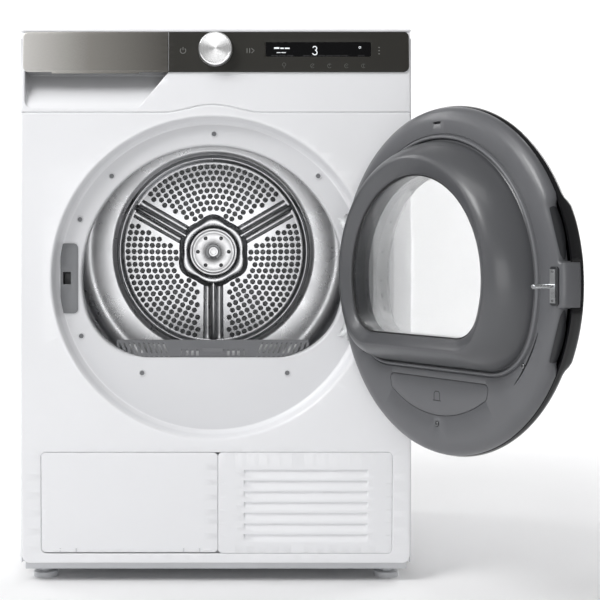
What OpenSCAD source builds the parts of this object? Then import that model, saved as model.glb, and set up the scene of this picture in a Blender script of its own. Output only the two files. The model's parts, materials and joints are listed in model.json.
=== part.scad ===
/* [Cabinet] */
// Width of the cabinet
body_w = 600; // [590:1:610]
// Depth of the cabinet, front face to back
body_d = 600; // [595:1:620]
// Height of the cabinet, floor to worktop
body_h = 850; // [845:1:860]
// Height of the panels' lower edge above the floor
skirt_z = 30; // [28:1:34]
// Thickness of the steel sheet
sheet_t = 1.5; // [1:0.1:2]
// How far the middle of the front stands forward of its ends
front_bulge = 14; // [10:1:16]

/* [Feet] */
// Distance of each foot from the centre line
foot_x = 267; // [255:1:268]
// Distance of each foot from the middle, front to back
foot_y = 250; // [230:1:255]
// Radius of a foot pad
foot_r = 19; // [15:1:22]

/* [Door recess] */
// Sideways place of the recess centre
ring_x = -5; // [-8:1:0]
// Height of the recess centre
ring_z = 469; // [465:1:472]
// Radius of the recess where it meets the front
ring_r = 245; // [245:1:248]
// Radius of the recess floor
ring_floor_r = 238; // [238:1:240]
// Front to back place of the recess floor
floor_y = -286; // [-287:0.5:-285]
// Radius of the loading opening
opening_r = 202.4; // [202:0.2:204]
// Depth of the opening's flat lower edge below the recess centre
opening_flat = 124; // [122:1:126]
// Radius of the opening's lower corners
opening_corner = 103; // [90:1:110]

/* [Door] */
// Radius of the door
door_r = 241; // [238:0.5:241]
// Distance from the hinge axis to the door's centre
hinge_e = 221; // [219:1:223]
// Front to back place of the hinge axis
hinge_y = -317; // [-318:0.5:-316]
// How far the door stands open
door_open = 120; // [0:1:130]

/* [Drum] */
// Height of the drum axis
drum_z = 506; // [504:1:508]
// Outer radius of the drum
drum_r = 270; // [266:1:270]
// Front end of the drum
drum_y0 = -248; // [-250:1:-246]
// Rear wall of the drum
drum_y1 = 225; // [215:1:228]
// Radius of the fold between the drum's side and rear wall
drum_fold = 40; // [30:1:45]

/* [Drive] */
// Sideways place of the motor axis
motor_x = 190; // [185:1:192]
// Height of the motor axis
motor_z = 135; // [130:1:140]
// Radius of the motor pulley
pulley_r = 12; // [10:1:14]
// Radius of the idler pulley
idler_r = 20; // [18:1:22]
// Radius of a drum roller
roller_r = 25; // [22:1:28]

/* [Hidden] */
$fn = 96;

side = body_w / 2;
front = -body_d / 2;
back = body_d / 2;
inner_w = side - sheet_t;

// the front is an arc seen from the side: its lowest and highest points and its radius
arc_z0 = skirt_z;
arc_z1 = 800;
arc_mid = (arc_z0 + arc_z1) / 2;
arc_half = (arc_z1 - arc_z0) / 2;
arc_r = (arc_half * arc_half + front_bulge * front_bulge) / (2 * front_bulge);
arc_y = front - front_bulge + arc_r;
arc_fn = 720;

// the seam between the door panel and the console, with its hump over the recess
seam_z = 721;
hump_h = 12;
hump_half = 78;
seam_gap = 1;
panel_half = side - 2;
console_top = 845.5;

// the dark fascia, the drawer front and the pocket under it
fascia_z0 = 783.5;
fascia_t = 3;
drawer_x1 = -73.3;
fascia_x0 = -72.3;
fascia_x1 = 296;
knob_x = -1;
knob_z = 818;
knob_r = 26.4;
window_x0 = 76;
window_x1 = 238;
window_z0 = 807;
window_z1 = 830;

// the lower panel: service flap on the left, air grille on the right
lower_x0 = -268;
lower_x1 = 270;
lower_z0 = 45;
lower_z1 = 202;
lower_seam = 3;
louvre_x0 = 43;
louvre_x1 = 232;
louvre_z0 = 75;
louvre_pitch = 16.6;
louvre_count = 7;
flap_axis_y = -299;
flap_axis_z = 51;
flap_gap = 0.8;

// hinge and door: heights along the outward direction, measured from the hinge axis
axis_x = ring_x + hinge_e;
rim_w = -9;
face_w = -27;
bowl_w = -79;
glass_w = -68;
tube_w = -5;
rim_lift = 11;
tube_lift = 5;
window_r = 160;
grip_half = 105;
hinge_heights = [-68, 68];
hinge_screw_x = 209;
hinge_screw_z = 91;
pin_r = 4;
run_gap = 0.05;
knuckle_r = 7;
ear_t = 4;
knuckle_h = 15.4;
striker_e = 224;
striker_z = -1.5;
striker_r = 3;

// latch in the left of the recess floor
latch_x0 = -240;
latch_x1 = -213;
latch_z0 = 413;
latch_z1 = 521;
slot_x0 = -237;
slot_x1 = -224;
slot_z0 = 458;
slot_z1 = 477;
latch_pivot_y = -262;
latch_pivot_z = 490;

// drum details
drum_x = ring_x;
drum_wall = 1.5;
lip_r = 236;
wall_flat_r = drum_r - drum_wall - drum_fold;
hub_r = 46;
bolt_ring_r = 29.5;
shaft_r = 15;
hole_r = 3.4;
hole_pitch = 25;
lifter_h = 34;

// belt plane and the wheels it runs over
belt_y0 = 66;
belt_y1 = 78;
belt_gap = 0.3;
belt_t = 2.5;
idler_x = 60;
idler_z = 185;
arm_x = 120;
arm_z = 150;
roller_angle = 33;
roller_reach = drum_r + roller_r + 0.4;
roller_dx = roller_reach * sin(roller_angle);
roller_z = drum_z - roller_reach * cos(roller_angle);

// ---------- helpers ----------

// An outline drawn as (across, up), given thickness from y0 back to y1
module upright(y0, y1) {
    translate([0, y1, 0]) rotate([90, 0, 0]) linear_extrude(y1 - y0) children();
}

// An outline drawn as (back, up), given length from x0 to x1
module along_x(x0, x1) {
    translate([x0, 0, 0]) rotate([90, 0, 90]) linear_extrude(x1 - x0) children();
}

// A round bar along the y axis
module bar_y(r, y0, y1) {
    translate([0, y1, 0]) rotate([90, 0, 0]) cylinder(r = r, h = y1 - y0);
}

// A round bar along the x axis
module bar_x(r, x0, x1) {
    translate([x0, 0, 0]) rotate([0, 90, 0]) cylinder(r = r, h = x1 - x0);
}

// A block between two corners
module block(a, b) {
    translate(a) cube(b - a);
}

// A rectangle between two corners, with round corners
module round_rect(x0, y0, x1, y1, r) {
    translate([x0 + r, y0]) square([x1 - x0 - 2 * r, y1 - y0]);
    translate([x0, y0 + r]) square([x1 - x0, y1 - y0 - 2 * r]);
    for (x = [x0 + r, x1 - r])
        for (y = [y0 + r, y1 - r])
            translate([x, y]) circle(r);
}

// A circle with a flat lower side and round lower corners
module d_shape(r, flat, corner) {
    cx = sqrt((r - corner) * (r - corner) - (flat - corner) * (flat - corner));
    tx = cx * r / (r - corner);
    ty = -(flat - corner) * r / (r - corner);
    intersection() {
        circle(r, $fn = 160);
        translate([-r, ty]) square([2 * r, r - ty]);
    }
    polygon([[-tx, ty], [-cx, -flat], [cx, -flat], [tx, ty]]);
    for (s = [-1, 1])
        translate([s * cx, corner - flat]) circle(corner, $fn = 160);
}

// Points along the same outline, for a plate made of flat facets
function d_points(r, flat, corner, steps = 16) =
    let (cx = sqrt((r - corner) * (r - corner) - (flat - corner) * (flat - corner)),
        cy = corner - flat, turn = atan2(cy, cx))
    concat([for (i = [0:steps]) let (a = -90 + i * (90 + turn) / steps)
            [cx + corner * cos(a), cy + corner * sin(a)]],
        [for (i = [1:4 * steps]) let (a = turn + i * (180 - 2 * turn) / (4 * steps)) [r * cos(a), r * sin(a)]],
        [for (i = [1:steps]) let (a = 180 - turn + i * (90 + turn) / steps)
            [-cx + corner * cos(a), cy + corner * sin(a)]]);

// The same outline as straight facets
module d_facets(r, flat, corner) {
    polygon(d_points(r, flat, corner, 20));
}

// The space behind the curved front, kept back by gap; a negative gap stands forward of it
module behind_front(gap = 0) {
    translate([-body_w, arc_y, arc_mid]) rotate([0, 90, 0])
        cylinder(r = arc_r - gap, h = 2 * body_w, $fn = arc_fn);
}

// A curved sheet that follows the front, between two distances behind it
module front_sheet(gap0, gap1) {
    intersection() {
        difference() {
            behind_front(gap0);
            behind_front(gap1);
        }
        upright(front - 40, front + 30) children();
    }
}

// Height of the seam over the hump, from its middle outwards
function hump(x) = abs(x) < hump_half ? hump_h * (1 + cos(180 * x / hump_half)) / 2 : 0;
hump_steps = 24;
hump_points = [for (i = [-hump_steps:hump_steps]) let (x = i * hump_half / hump_steps)
    [ring_x + x, seam_z + hump(x)]];

// Places children at the recess centre
module at_ring() {
    translate([ring_x, 0, ring_z]) children();
}

// Places children on the drum axis
module at_drum() {
    translate([drum_x, 0, drum_z]) children();
}

// Places a door piece, drawn closed about the door's centre, at the open angle
module door_place() {
    translate([axis_x, hinge_y, ring_z]) rotate([0, 0, door_open])
        translate([-hinge_e, 0, 0]) children();
}

// A solid turned about the door's axis, its outline drawn as (radius, outward height)
module door_turned(points) {
    rotate([90, 0, 0]) rotate_extrude($fn = 180) polygon(points);
}

// A door outline given thickness between two outward heights
module door_slab(w0, w1) {
    rotate([90, 0, 0]) translate([0, 0, w0]) linear_extrude(w1 - w0) children();
}

// Room in the door's edge for the hinge ears at every angle
module hinge_notches() {
    for (z = hinge_heights)
        block([hinge_e - 13, -40, z - 16], [hinge_e + 40, 40, z + 16]);
}

// ---------- cabinet ----------

module base_pan() color("gainsboro") {
    wall = 3;
    x1 = inner_w - 4;
    y0 = front + 16.6;
    y1 = back - 16;
    boss_r = 24;
    difference() {
        union() {
            difference() {
                block([-x1, y0, 18], [x1, y1, 56]);
                block([-x1 + wall, y0 + wall, 33], [x1 - wall, y1 - wall, 57]);
                block([-x1 + wall, y0 + wall, 17], [x1 - wall, y1 - wall, 30]);
            }
            for (x = [-foot_x + 3, foot_x - 3])
                for (y = [-foot_y, foot_y])
                    translate([x, y, 18]) cylinder(r = boss_r, h = 14);
            // ears that carry the service flap's pins
            for (x = [lower_x0 + 28, lower_x0 + 52.5])
                block([x, flap_axis_y - 3, flap_axis_z - 3], [x + 2.5, y0 + wall, flap_axis_z + 3]);
            for (x = [lower_seam - 54, lower_seam - 29.5])
                block([x, flap_axis_y - 3, flap_axis_z - 3], [x + 2.5, y0 + wall, flap_axis_z + 3]);
            for (x = [lower_x0 + 28, lower_seam - 54])
                translate([0, flap_axis_y, flap_axis_z]) bar_x(1.5, x, x + 27);
        }
        for (x = [-foot_x, foot_x])
            for (y = [-foot_y, foot_y])
                translate([x, y, 0]) cylinder(r = 6 + run_gap, h = 80);
    }
}

// A side panel: sheet with folded front and back edges
module side_panel() {
    z0 = skirt_z;
    z1 = 836;
    fold = 14;
    difference() {
        block([inner_w - fold, front + 15, z0], [side, back, z1]);
        block([inner_w - fold - 1, front + 15 + sheet_t, z0 - 1], [inner_w, back - sheet_t, z1 + 1]);
        block([inner_w - fold - 1, front + 14, z0 - 1], [inner_w - 12, back - 20, z1 + 1]);
        block([inner_w - fold - 1, front + 14, 716], [inner_w, front + 17, z1 + 1]);
    }
    block([inner_w, front + 4, z0], [side, front + 15, z1]);
}

module left_side_panel() color("white") mirror([1, 0, 0]) side_panel();

module right_side_panel() color("white") side_panel();

module top_panel() color("white") {
    lip_y = front + 3;
    lip_z = console_top + 1;
    slab_y = front + 36;
    skin = 1.2;
    difference() {
        union() {
            translate([0, 0, 838]) linear_extrude(body_h - 838)
                square_between(-side, slab_y, side, back);
            translate([0, 0, lip_z]) linear_extrude(body_h - lip_z)
                round_rect(-side, lip_y, side, slab_y + 10, 5);
        }
        block([-side + skin, slab_y + skin, 837], [side - skin, back - skin, body_h - skin]);
    }
}

module rear_panel() color("lightgray") {
    y0 = 284;
    spoke_w = 34;
    slot_n = 9;
    difference() {
        upright(y0, y0 + sheet_t) square_between(-inner_w + 1, 33, inner_w - 1, 836);
        difference() {
            at_drum() bar_y(190, y0 - 1, y0 + 3);
            at_drum() bar_y(62, y0 - 2, y0 + 4);
            for (a = [90, 210, 330])
                at_drum() rotate([0, a, 0]) block([0, y0 - 2, -spoke_w / 2], [195, y0 + 4, spoke_w / 2]);
        }
        at_drum() bar_y(shaft_r + 1, y0 - 1, y0 + 3);
        for (i = [0:slot_n - 1])
            upright(y0 - 1, y0 + 3) round_rect(-250, 70 + i * 13, -110, 76 + i * 13, 2.9);
        translate([-60, 0, 95]) bar_y(9.5, y0 - 1, y0 + 3);
        translate([-20, 0, 95]) bar_y(7.5, y0 - 1, y0 + 3);
        translate([motor_x, 0, motor_z]) bar_y(60, y0 - 1, y0 + 3);
    }
}

// A plain rectangle between two corners
module square_between(x0, y0, x1, y1) {
    translate([x0, y0]) square([x1 - x0, y1 - y0]);
}

// Outline of the rear air duct: round at the drum, narrow at the fan
module duct_outline(grow) {
    hull() {
        translate([drum_x, drum_z]) circle(208 + grow);
        translate([motor_x, motor_z + 10]) circle(70 + grow);
    }
}

module rear_duct_cover() color("silver") {
    y0 = 285.6;
    difference() {
        upright(y0, back) duct_outline(0);
        upright(y0 - 1, back - sheet_t) duct_outline(-sheet_t);
    }
    difference() {
        upright(y0, y0 + 1.2) duct_outline(12);
        upright(y0 - 1, y0 + 2) duct_outline(-1);
    }
}

// Outline of the big front panel, up to the seam
module front_outline(inset = 0) {
    w = panel_half - inset;
    difference() {
        polygon(concat([[-w, skirt_z + inset], [w, skirt_z + inset], [w, seam_z - inset]],
            [for (p = [len(hump_points) - 1:-1:0]) hump_points[p] - [0, inset]],
            [[-w, seam_z - inset]]));
        for (s = [-1, 1])
            translate([s * (w - 12), skirt_z + inset + 12]) difference() {
                translate([s > 0 ? 0 : -13, -13]) square(13);
                circle(12);
            }
    }
}

module opening_outline(grow = 0) {
    d_shape(opening_r + grow, opening_flat + grow, opening_corner + grow);
}

module front_panel() color("white") {
    fold_y = front + 12;
    cone_h = 34;
    rise = (ring_r - ring_floor_r) / (front - front_bulge - floor_y) * -1;
    difference() {
        union() {
            difference() {
                front_sheet(0, sheet_t) front_outline();
                at_ring() bar_y(ring_r - 1, front - 50, front + 50);
            }
            intersection() {
                behind_front(0);
                difference() {
                    upright(front - 30, fold_y) front_outline();
                    upright(front - 31, fold_y + 1) front_outline(sheet_t);
                }
            }
            // sloping wall of the recess
            intersection() {
                behind_front(0);
                at_ring() translate([0, floor_y + sheet_t, 0]) rotate([90, 0, 0])
                    cylinder(r1 = ring_floor_r + sheet_t, r2 = ring_floor_r + sheet_t + cone_h * rise, h = cone_h);
            }
        }
        at_ring() translate([0, floor_y, 0]) rotate([90, 0, 0])
            cylinder(r1 = ring_floor_r, r2 = ring_floor_r + cone_h * rise, h = cone_h);
        at_ring() upright(floor_y - 10, floor_y + 10) opening_outline();
        upright(front - 30, front + 40) round_rect(lower_x0, lower_z0, lower_x1, lower_z1, 5);
        block([slot_x0 - 1, floor_y - 4, slot_z0 - 3], [slot_x1 + 2, floor_y + 10, slot_z1 + 3]);
    }
}

// Outline of the console between the seam and the worktop
module console_outline(inset = 0) {
    w = panel_half - inset;
    polygon(concat([[-w, seam_z + seam_gap + inset]],
        [for (p = hump_points) p + [0, seam_gap + inset]],
        [[w, seam_z + seam_gap + inset], [w, console_top - inset], [-w, console_top - inset]]));
}

// The finger pocket under the drawer front: upright ends and a sloping back
module pocket(grow) {
    intersection() {
        upright(front - 30, front + 45)
            polygon([[-293 - grow, 783], [-293 - grow, 727 - grow], [-115 + grow, 727 - grow],
                [-73.5 + grow, 783]]);
        along_x(-300, -60)
            polygon([[-340, 727 - grow], [-305 + grow, 727 - grow], [-268 + grow, 784], [-340, 784]]);
    }
}

module console_frame() color("white") {
    wall = 2.5;
    y1 = -268;
    difference() {
        intersection() {
            behind_front(0);
            union() {
                difference() {
                    upright(front - 30, y1) console_outline();
                    intersection() {
                        behind_front(wall);
                        upright(front - 31, y1 + 1) console_outline(wall);
                    }
                }
                pocket(wall);
            }
        }
        pocket(0);
        upright(front - 30, y1 + 1) round_rect(-291, 786.5, -77, 842, 5);
        upright(front - 30, y1 + 1) round_rect(window_x0 + 4, window_z0 + 3, window_x1 - 4, window_z1 - 3, 3);
        translate([knob_x, 0, knob_z]) bar_y(7, front - 30, y1 + 1);
    }
}

module control_fascia() color([0.2, 0.2, 0.18]) {
    difference() {
        front_sheet(-fascia_t, -0.1) round_rect(fascia_x0, fascia_z0, fascia_x1, console_top, 7);
        upright(front - 30, front + 30) round_rect(window_x0, window_z0, window_x1, window_z1, 2);
        translate([knob_x, 0, knob_z]) bar_y(5, front - 30, front + 30);
    }
    front_sheet(-fascia_t, -0.1) square_between(fascia_x0, fascia_z0, fascia_x0 + 10, console_top);
}

module display_window() color("black") {
    front_sheet(-fascia_t + 0.4, -0.4)
        round_rect(window_x0 + 0.3, window_z0 + 0.3, window_x1 - 0.3, window_z1 - 0.3, 2);
}

module control_board() color("darkgreen") {
    board_y = -290;
    difference() {
        union() {
            block([-50, board_y, 789], [285, board_y + 1.6, 841]);
            block([knob_x - 9, board_y - 4.5, knob_z - 9], [knob_x + 9, board_y, knob_z + 9]);
            block([window_x0 + 8, board_y - 4, window_z0 + 4], [window_x1 - 8, board_y, window_z1 - 4]);
            for (x = [30:45:255])
                block([x, board_y + 1.6, 795], [x + 16, board_y + 6, 811]);
        }
        translate([knob_x, 0, knob_z]) bar_y(3 + run_gap, board_y - 5, board_y + 3);
    }
}

module tank_housing() color("whitesmoke") {
    difference() {
        block([-295, -261, 782.5], [-75, 200, 832]);
        block([-292.5, -262, 784.5], [-77.5, 197.5, 833]);
    }
}

// ---------- air path around the drum ----------

module front_bulkhead() color("lightgray") {
    y0 = -266;
    y1 = -263;
    difference() {
        union() {
            upright(y0, y1) round_rect(-290, 208, 290, 778, 40);
            at_ring() upright(floor_y + sheet_t + 0.1, y1) opening_outline(4);
        }
        at_ring() upright(floor_y, y1 + 2) opening_outline(1.5);
        block([-166, y0 - 20, 200], [156, y0 + 1, ring_z - opening_flat + 1]);
        block([latch_x0 - 4, floor_y, latch_z0 + 20], [slot_x1 + 7, y1 + 1, latch_z1 - 15]);
    }
    for (s = [-1, 1])
        translate([drum_x + s * roller_dx, 0, roller_z]) {
            bar_y(12, y1, y1 + 18);
            bar_y(6, y1, -214);
        }
}

// Slots in the filter housing's sloping cover, leaning away from the middle
module housing_slots() {
    slot_n = 12;
    slot_pitch = 7.6;
    for (s = [-1, 1])
        for (i = [0:slot_n - 1])
            translate([drum_x + s * (66 + i * slot_pitch), -268, 340]) rotate([0, s * 25, 0])
                block([-1.4, -9, 0], [1.4, 11, 40]);
}

module filter_housing() color([0.47, 0.47, 0.49]) {
    z0 = 208;
    z1 = ring_z - opening_flat + 1;
    half = 150;
    slot_half = 49;
    difference() {
        union() {
            difference() {
                block([drum_x - half, -283.5, z0], [drum_x + half, -267, z1]);
                block([drum_x - half + 2, -281.5, z0 - 1], [drum_x + half - 2, -269, z1 + 1]);
            }
            intersection() {
                along_x(drum_x - half, drum_x + half)
                    polygon([[-283.5, z1 - 3], [-283.5, z1], [-252, z1 + 24], [-252, z1 + 21]]);
                at_ring() upright(-290, -250) opening_outline(-1.5);
            }
        }
        housing_slots();
        block([drum_x - slot_half, -281.5, z0 - 1], [drum_x + slot_half, -269, z1 + 30]);
    }
}

module lint_filter() color([0.4, 0.4, 0.42]) {
    half = 48;
    y0 = -280.8;
    y1 = -269.7;
    z0 = 214;
    z1 = ring_z - opening_flat + 3;
    difference() {
        union() {
            block([drum_x - half, y0, z0], [drum_x + half, y1, z1]);
            along_x(drum_x - half, drum_x + half)
                polygon([[y0, z1 - 1], [y1, z1 - 1], [y1, z1 + 8], [y0, z1 + 1]]);
            // centre tab that the fingers lift
            block([drum_x - 16, y1 - 4, z1], [drum_x + 16, y1, z1 + 10]);
        }
        block([drum_x - half + 5, y0 - 1, z0 + 6], [drum_x + half - 5, y0 + 2, z1 - 8]);
        block([drum_x - half + 5, y1 - 2, z0 + 6], [drum_x + half - 5, y1 + 1, z1 - 8]);
        for (s = [-1, 1])
            for (i = [0:2])
                translate([drum_x + s * (24 + i * 8), 0, 0])
                    block([-2, y0 - 1, z1 - 4], [2, y1 + 1, z1 + 12]);
    }
}

module front_felt_seal() color("dimgray") {
    at_drum() difference() {
        bar_y(264, -262.9, drum_y0 - 2.4);
        bar_y(244, -264, drum_y0);
    }
}

// ---------- drum ----------

module drum_shell() color("silver") {
    at_drum() rotate([90, 0, 0]) rotate_extrude($fn = 180)
        polygon([[drum_r - drum_wall, -drum_y1 + drum_fold], [drum_r, -drum_y1 + drum_fold],
            [drum_r, -drum_y0], [drum_r - 4, -drum_y0 + 1.5], [lip_r, -drum_y0 + 1.5],
            [lip_r, -drum_y0], [drum_r - drum_wall, -drum_y0 - 2]]);
}

// Holes in the rear wall, on rings, left out of the three ribs
module rear_wall_holes() {
    for (r = [72:hole_pitch / 1.6:165]) {
        n = floor(2 * PI * r / hole_pitch / 1.3);
        for (i = [0:n - 1]) {
            a = i * 360 / n;
            clear = min([for (rib = [30, 150, 270]) abs(r * sin(a - rib)) + (cos(a - rib) < 0 ? 400 : 0)]);
            if (clear > 22)
                translate([r * cos(a), 0, r * sin(a)]) bar_y(hole_r, drum_y1 - 3, drum_y1 + 5);
        }
    }
}

module drum_rear_wall() color("silver") {
    inner = drum_r - drum_wall;
    at_drum() difference() {
        union() {
            difference() {
                bar_y(wall_flat_r + 0.5, drum_y1, drum_y1 + 1.2);
                rear_wall_holes();
            }
            rotate([90, 0, 0]) rotate_extrude($fn = 180) intersection() {
                translate([wall_flat_r, -drum_y1 + drum_fold]) difference() {
                    circle(drum_fold + 1.2);
                    circle(drum_fold);
                }
                translate([wall_flat_r, -drum_y1 - 3]) square([drum_fold + 3, drum_fold + 2.8]);
            }
            // three pressed ribs and the ring around the holes
            for (a = [30, 150, 270])
                rotate([0, -a, 0]) block([40, drum_y1 - 3, -7], [165, drum_y1 + 1, 7]);
            difference() {
                bar_y(184, drum_y1 - 2, drum_y1 + 0.5);
                bar_y(180, drum_y1 - 3, drum_y1 + 1);
            }
        }
        bar_y(hub_r - 10, drum_y1 - 5, drum_y1 + 5);
    }
}

module drum_hub() color("gainsboro") {
    at_drum() difference() {
        union() {
            bar_y(hub_r, drum_y1 - 7, drum_y1 - 3.1);
            bar_y(hub_r - 10.5, drum_y1 - 4, drum_y1 + 14);
            bar_y(shaft_r, drum_y1, 294);
        }
        bar_y(5, drum_y1 - 8, drum_y1 + 2);
    }
}

module hub_bolts() color("dimgray") {
    at_drum() for (a = [0:60:300])
        rotate([0, a, 0]) translate([bolt_ring_r, 0, 0]) {
            translate([0, drum_y1 - 7, 0]) rotate([90, 0, 0]) cylinder(r = 3.6, h = 2.6, $fn = 6);
        }
}

module drum_lifters() color("gainsboro") {
    inner = drum_r - drum_wall;
    at_drum() for (a = [30, 150, 270])
        rotate([0, -a, 0]) intersection() {
            difference() {
                bar_y(inner - 0.05, drum_y0 + 18, drum_y1 - drum_fold - 6);
                bar_y(inner - lifter_h, drum_y0, drum_y1);
            }
            upright(drum_y0 + 10, drum_y1) polygon([[inner - lifter_h - 2, -9], [inner + 2, -34],
                [inner + 2, 34], [inner - lifter_h - 2, 9]]);
        }
}

module drum_bearing() color("dimgray") {
    at_drum() difference() {
        union() {
            bar_y(30, 258, 283.9);
            bar_y(48, 280, 283.9);
        }
        bar_y(shaft_r + run_gap, 257, 285);
    }
}

module drum_roller() {
    difference() {
        bar_y(roller_r, -243, -219);
        bar_y(6 + run_gap, -244, -218);
        difference() {
            bar_y(roller_r - 5, -244, -239);
            bar_y(11, -245, -238);
        }
    }
}

module drum_roller_left() color("darkslategray") {
    translate([drum_x - roller_dx, 0, roller_z]) drum_roller();
}

module drum_roller_right() color("darkslategray") {
    translate([drum_x + roller_dx, 0, roller_z]) drum_roller();
}

// ---------- drive ----------

// Outline round the drum, the motor pulley and the idler
module belt_outline(grow) {
    hull() {
        translate([drum_x, drum_z]) circle(drum_r + grow, $fn = 180);
        translate([motor_x, motor_z]) circle(pulley_r + grow, $fn = 32);
        translate([idler_x, idler_z]) circle(idler_r + grow, $fn = 48);
    }
}

module drive_belt() color([0.12, 0.12, 0.12]) {
    upright(belt_y0, belt_y1) difference() {
        belt_outline(belt_gap + belt_t);
        belt_outline(belt_gap);
    }
}

module motor_housing() color("slategray") {
    difference() {
        union() {
            translate([motor_x, 0, motor_z]) bar_y(52, 92, 190);
            translate([motor_x, 0, motor_z]) bar_y(20, 86, 196);
            block([motor_x - 45, 100, 33], [motor_x + 45, 180, 95]);
            // bracket that carries the tensioner's post
            block([arm_x - 14, 92, arm_z - 14], [motor_x - 30, 97, arm_z + 14]);
            translate([arm_x, 0, arm_z]) bar_y(4, 52, 93);
        }
        translate([motor_x, 0, motor_z]) bar_y(6 + run_gap, 80, 200);
    }
}

module motor_rotor() color("silver") {
    translate([motor_x, 0, motor_z]) {
        bar_y(6, 58, 244);
        bar_y(pulley_r, belt_y0 - 1, belt_y1 + 1);
        difference() {
            bar_y(pulley_r + 3, belt_y0 - 4, belt_y1 + 4);
            bar_y(pulley_r + 6, belt_y0 - 1, belt_y1 + 1);
        }
    }
}

module fan_wheel() color("white") {
    blades = 24;
    translate([motor_x, 0, motor_z]) {
        difference() {
            union() {
                bar_y(72, 240, 242);
                bar_y(14, 212, 242);
            }
            bar_y(6, 200, 250);
        }
        for (i = [0:blades - 1])
            rotate([0, i * 360 / blades, 0]) translate([62, 0, 0]) rotate([0, 35, 0])
                block([-8, 208, -0.8], [8, 241, 0.8]);
        difference() {
            bar_y(72, 206, 208.5);
            bar_y(56, 205, 209);
        }
    }
}

module fan_housing() color("whitesmoke") {
    translate([motor_x, 0, motor_z]) difference() {
        union() {
            bar_y(84, 201, 252);
            block([-60, 201, 0], [60, 252, 96]);
            for (s = [-1, 1])
                block([s * 50 - 10, 201, 33 - motor_z], [s * 50 + 10, 252, -55]);
        }
        bar_y(81.5, 203.5, 253);
        block([-57.5, 203.5, 0], [57.5, 253, 97]);
        bar_y(50, 200, 204);
    }
}

module tensioner_arm() color("silver") {
    length = norm([arm_x - idler_x, arm_z - idler_z]);
    angle = atan2(idler_z - arm_z, idler_x - arm_x);
    upright(55, 60) difference() {
        union() {
            translate([arm_x, arm_z]) circle(9);
            translate([idler_x, idler_z]) circle(9);
            translate([arm_x, arm_z]) rotate(angle) translate([0, -7]) square([length, 14]);
        }
        translate([arm_x, arm_z]) circle(4 + run_gap);
    }
    translate([idler_x, 0, idler_z]) bar_y(4, 58, 84);
}

module idler_pulley() color("whitesmoke") {
    translate([idler_x, 0, idler_z]) difference() {
        bar_y(idler_r, belt_y0 - 3, belt_y1 + 3);
        bar_y(4 + run_gap, 50, 90);
    }
}

module tensioner_spring() color("gray") {
    translate([92, 49, 60]) difference() {
        cylinder(r = 5, h = 100);
        translate([0, 0, -1]) cylinder(r = 3.6, h = 102);
    }
}

// ---------- heat pump ----------

module compressor() color([0.15, 0.15, 0.16]) {
    translate([170, -110, 0]) difference() {
        union() {
            translate([0, 0, 44]) cylinder(r1 = 60, r2 = 70, h = 8);
            translate([0, 0, 52]) cylinder(r = 70, h = 120);
            translate([0, 0, 172]) cylinder(r1 = 70, r2 = 40, h = 28);
            for (a = [90, 210, 330])
                rotate([0, 0, a]) translate([66, 0, 33.2]) cylinder(r = 14, h = 14);
        }
        translate([0, 0, 30]) cylinder(r = 57, h = 132);
    }
}

module exchanger_housing() color("whitesmoke") {
    difference() {
        block([-274, -279.8, 34], [-12, -6, 205]);
        block([-271.5, -282, 58], [-14.5, -8.5, 202.5]);
        block([drum_x - 156, -282, 200], [-14.5, -269, 206]);
    }
}

// A finned heat exchanger between two depths
module fin_block(y0, y1) {
    fins = 24;
    x0 = -266;
    x1 = -22;
    z0 = 60;
    z1 = 198;
    for (i = [0:fins])
        block([x0 + i * (x1 - x0) / fins - 0.6, y0, z0], [x0 + i * (x1 - x0) / fins + 0.6, y1, z1]);
    for (y = [y0 + 18:28:y1 - 12])
        for (z = [z0 + 22:32:z1 - 12])
            translate([0, y, z]) bar_x(4, x0 - 3, x1 + 3);
}

module evaporator() color("silver") fin_block(-258, -172);

module condenser() color("silver") fin_block(-158, -28);

// A straight pipe between two points, with round ends
module pipe(a, b, r) {
    d = b - a;
    translate(a) rotate([0, acos(d[2] / norm(d)), atan2(d[1], d[0])]) cylinder(r = r, h = norm(d), $fn = 24);
    translate(b) sphere(r, $fn = 24);
}

module refrigerant_pipes() color("peru") {
    hot = [[170, -110, 201], [170, -110, 222], [60, -110, 222], [10, -110, 222], [10, -110, 120],
        [-7, -110, 120]];
    cold = [[60, -190, 90], [60, -190, 60], [10, -190, 60], [10, -190, 100], [-7, -190, 100]];
    for (i = [0:len(hot) - 2])
        pipe(hot[i], hot[i + 1], 4);
    for (i = [0:len(cold) - 2])
        pipe(cold[i], cold[i + 1], 4);
    // filter drier at the end of the cold line
    translate([60, -190, 88]) cylinder(r = 11, h = 60);
}

module condensate_pump() color("black") {
    block([20, 190, 34], [80, 250, 70]);
    translate([50, 220, 70]) cylinder(r = 22, h = 34);
    translate([50, 220, 104]) cylinder(r = 8, h = 14);
}

// ---------- fittings ----------

module access_cover() color("white") {
    x0 = lower_x0 + flap_gap;
    x1 = lower_seam - flap_gap / 2;
    difference() {
        union() {
            front_sheet(0, 3) round_rect(x0, lower_z0 + 2, x1, lower_z1 - flap_gap, 6);
            front_sheet(0, 3) square_between(x1 - 10, lower_z0 + 2, x1, lower_z1 - flap_gap);
            for (x = [lower_x0 + 31, lower_seam - 51])
                translate([0, flap_axis_y, flap_axis_z]) bar_x(3, x, x + 21);
        }
        for (x = [lower_x0 + 31, lower_seam - 51])
            translate([0, flap_axis_y, flap_axis_z]) bar_x(1.5 + run_gap, x - 1, x + 22);
        for (x = [lower_x0 + 27, lower_x0 + 52, lower_seam - 54.5, lower_seam - 30])
            block([x, flap_axis_y - 3.6, lower_z0], [x + 3.5, flap_axis_y + 6, flap_axis_z + 4.5]);
    }
}

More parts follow.
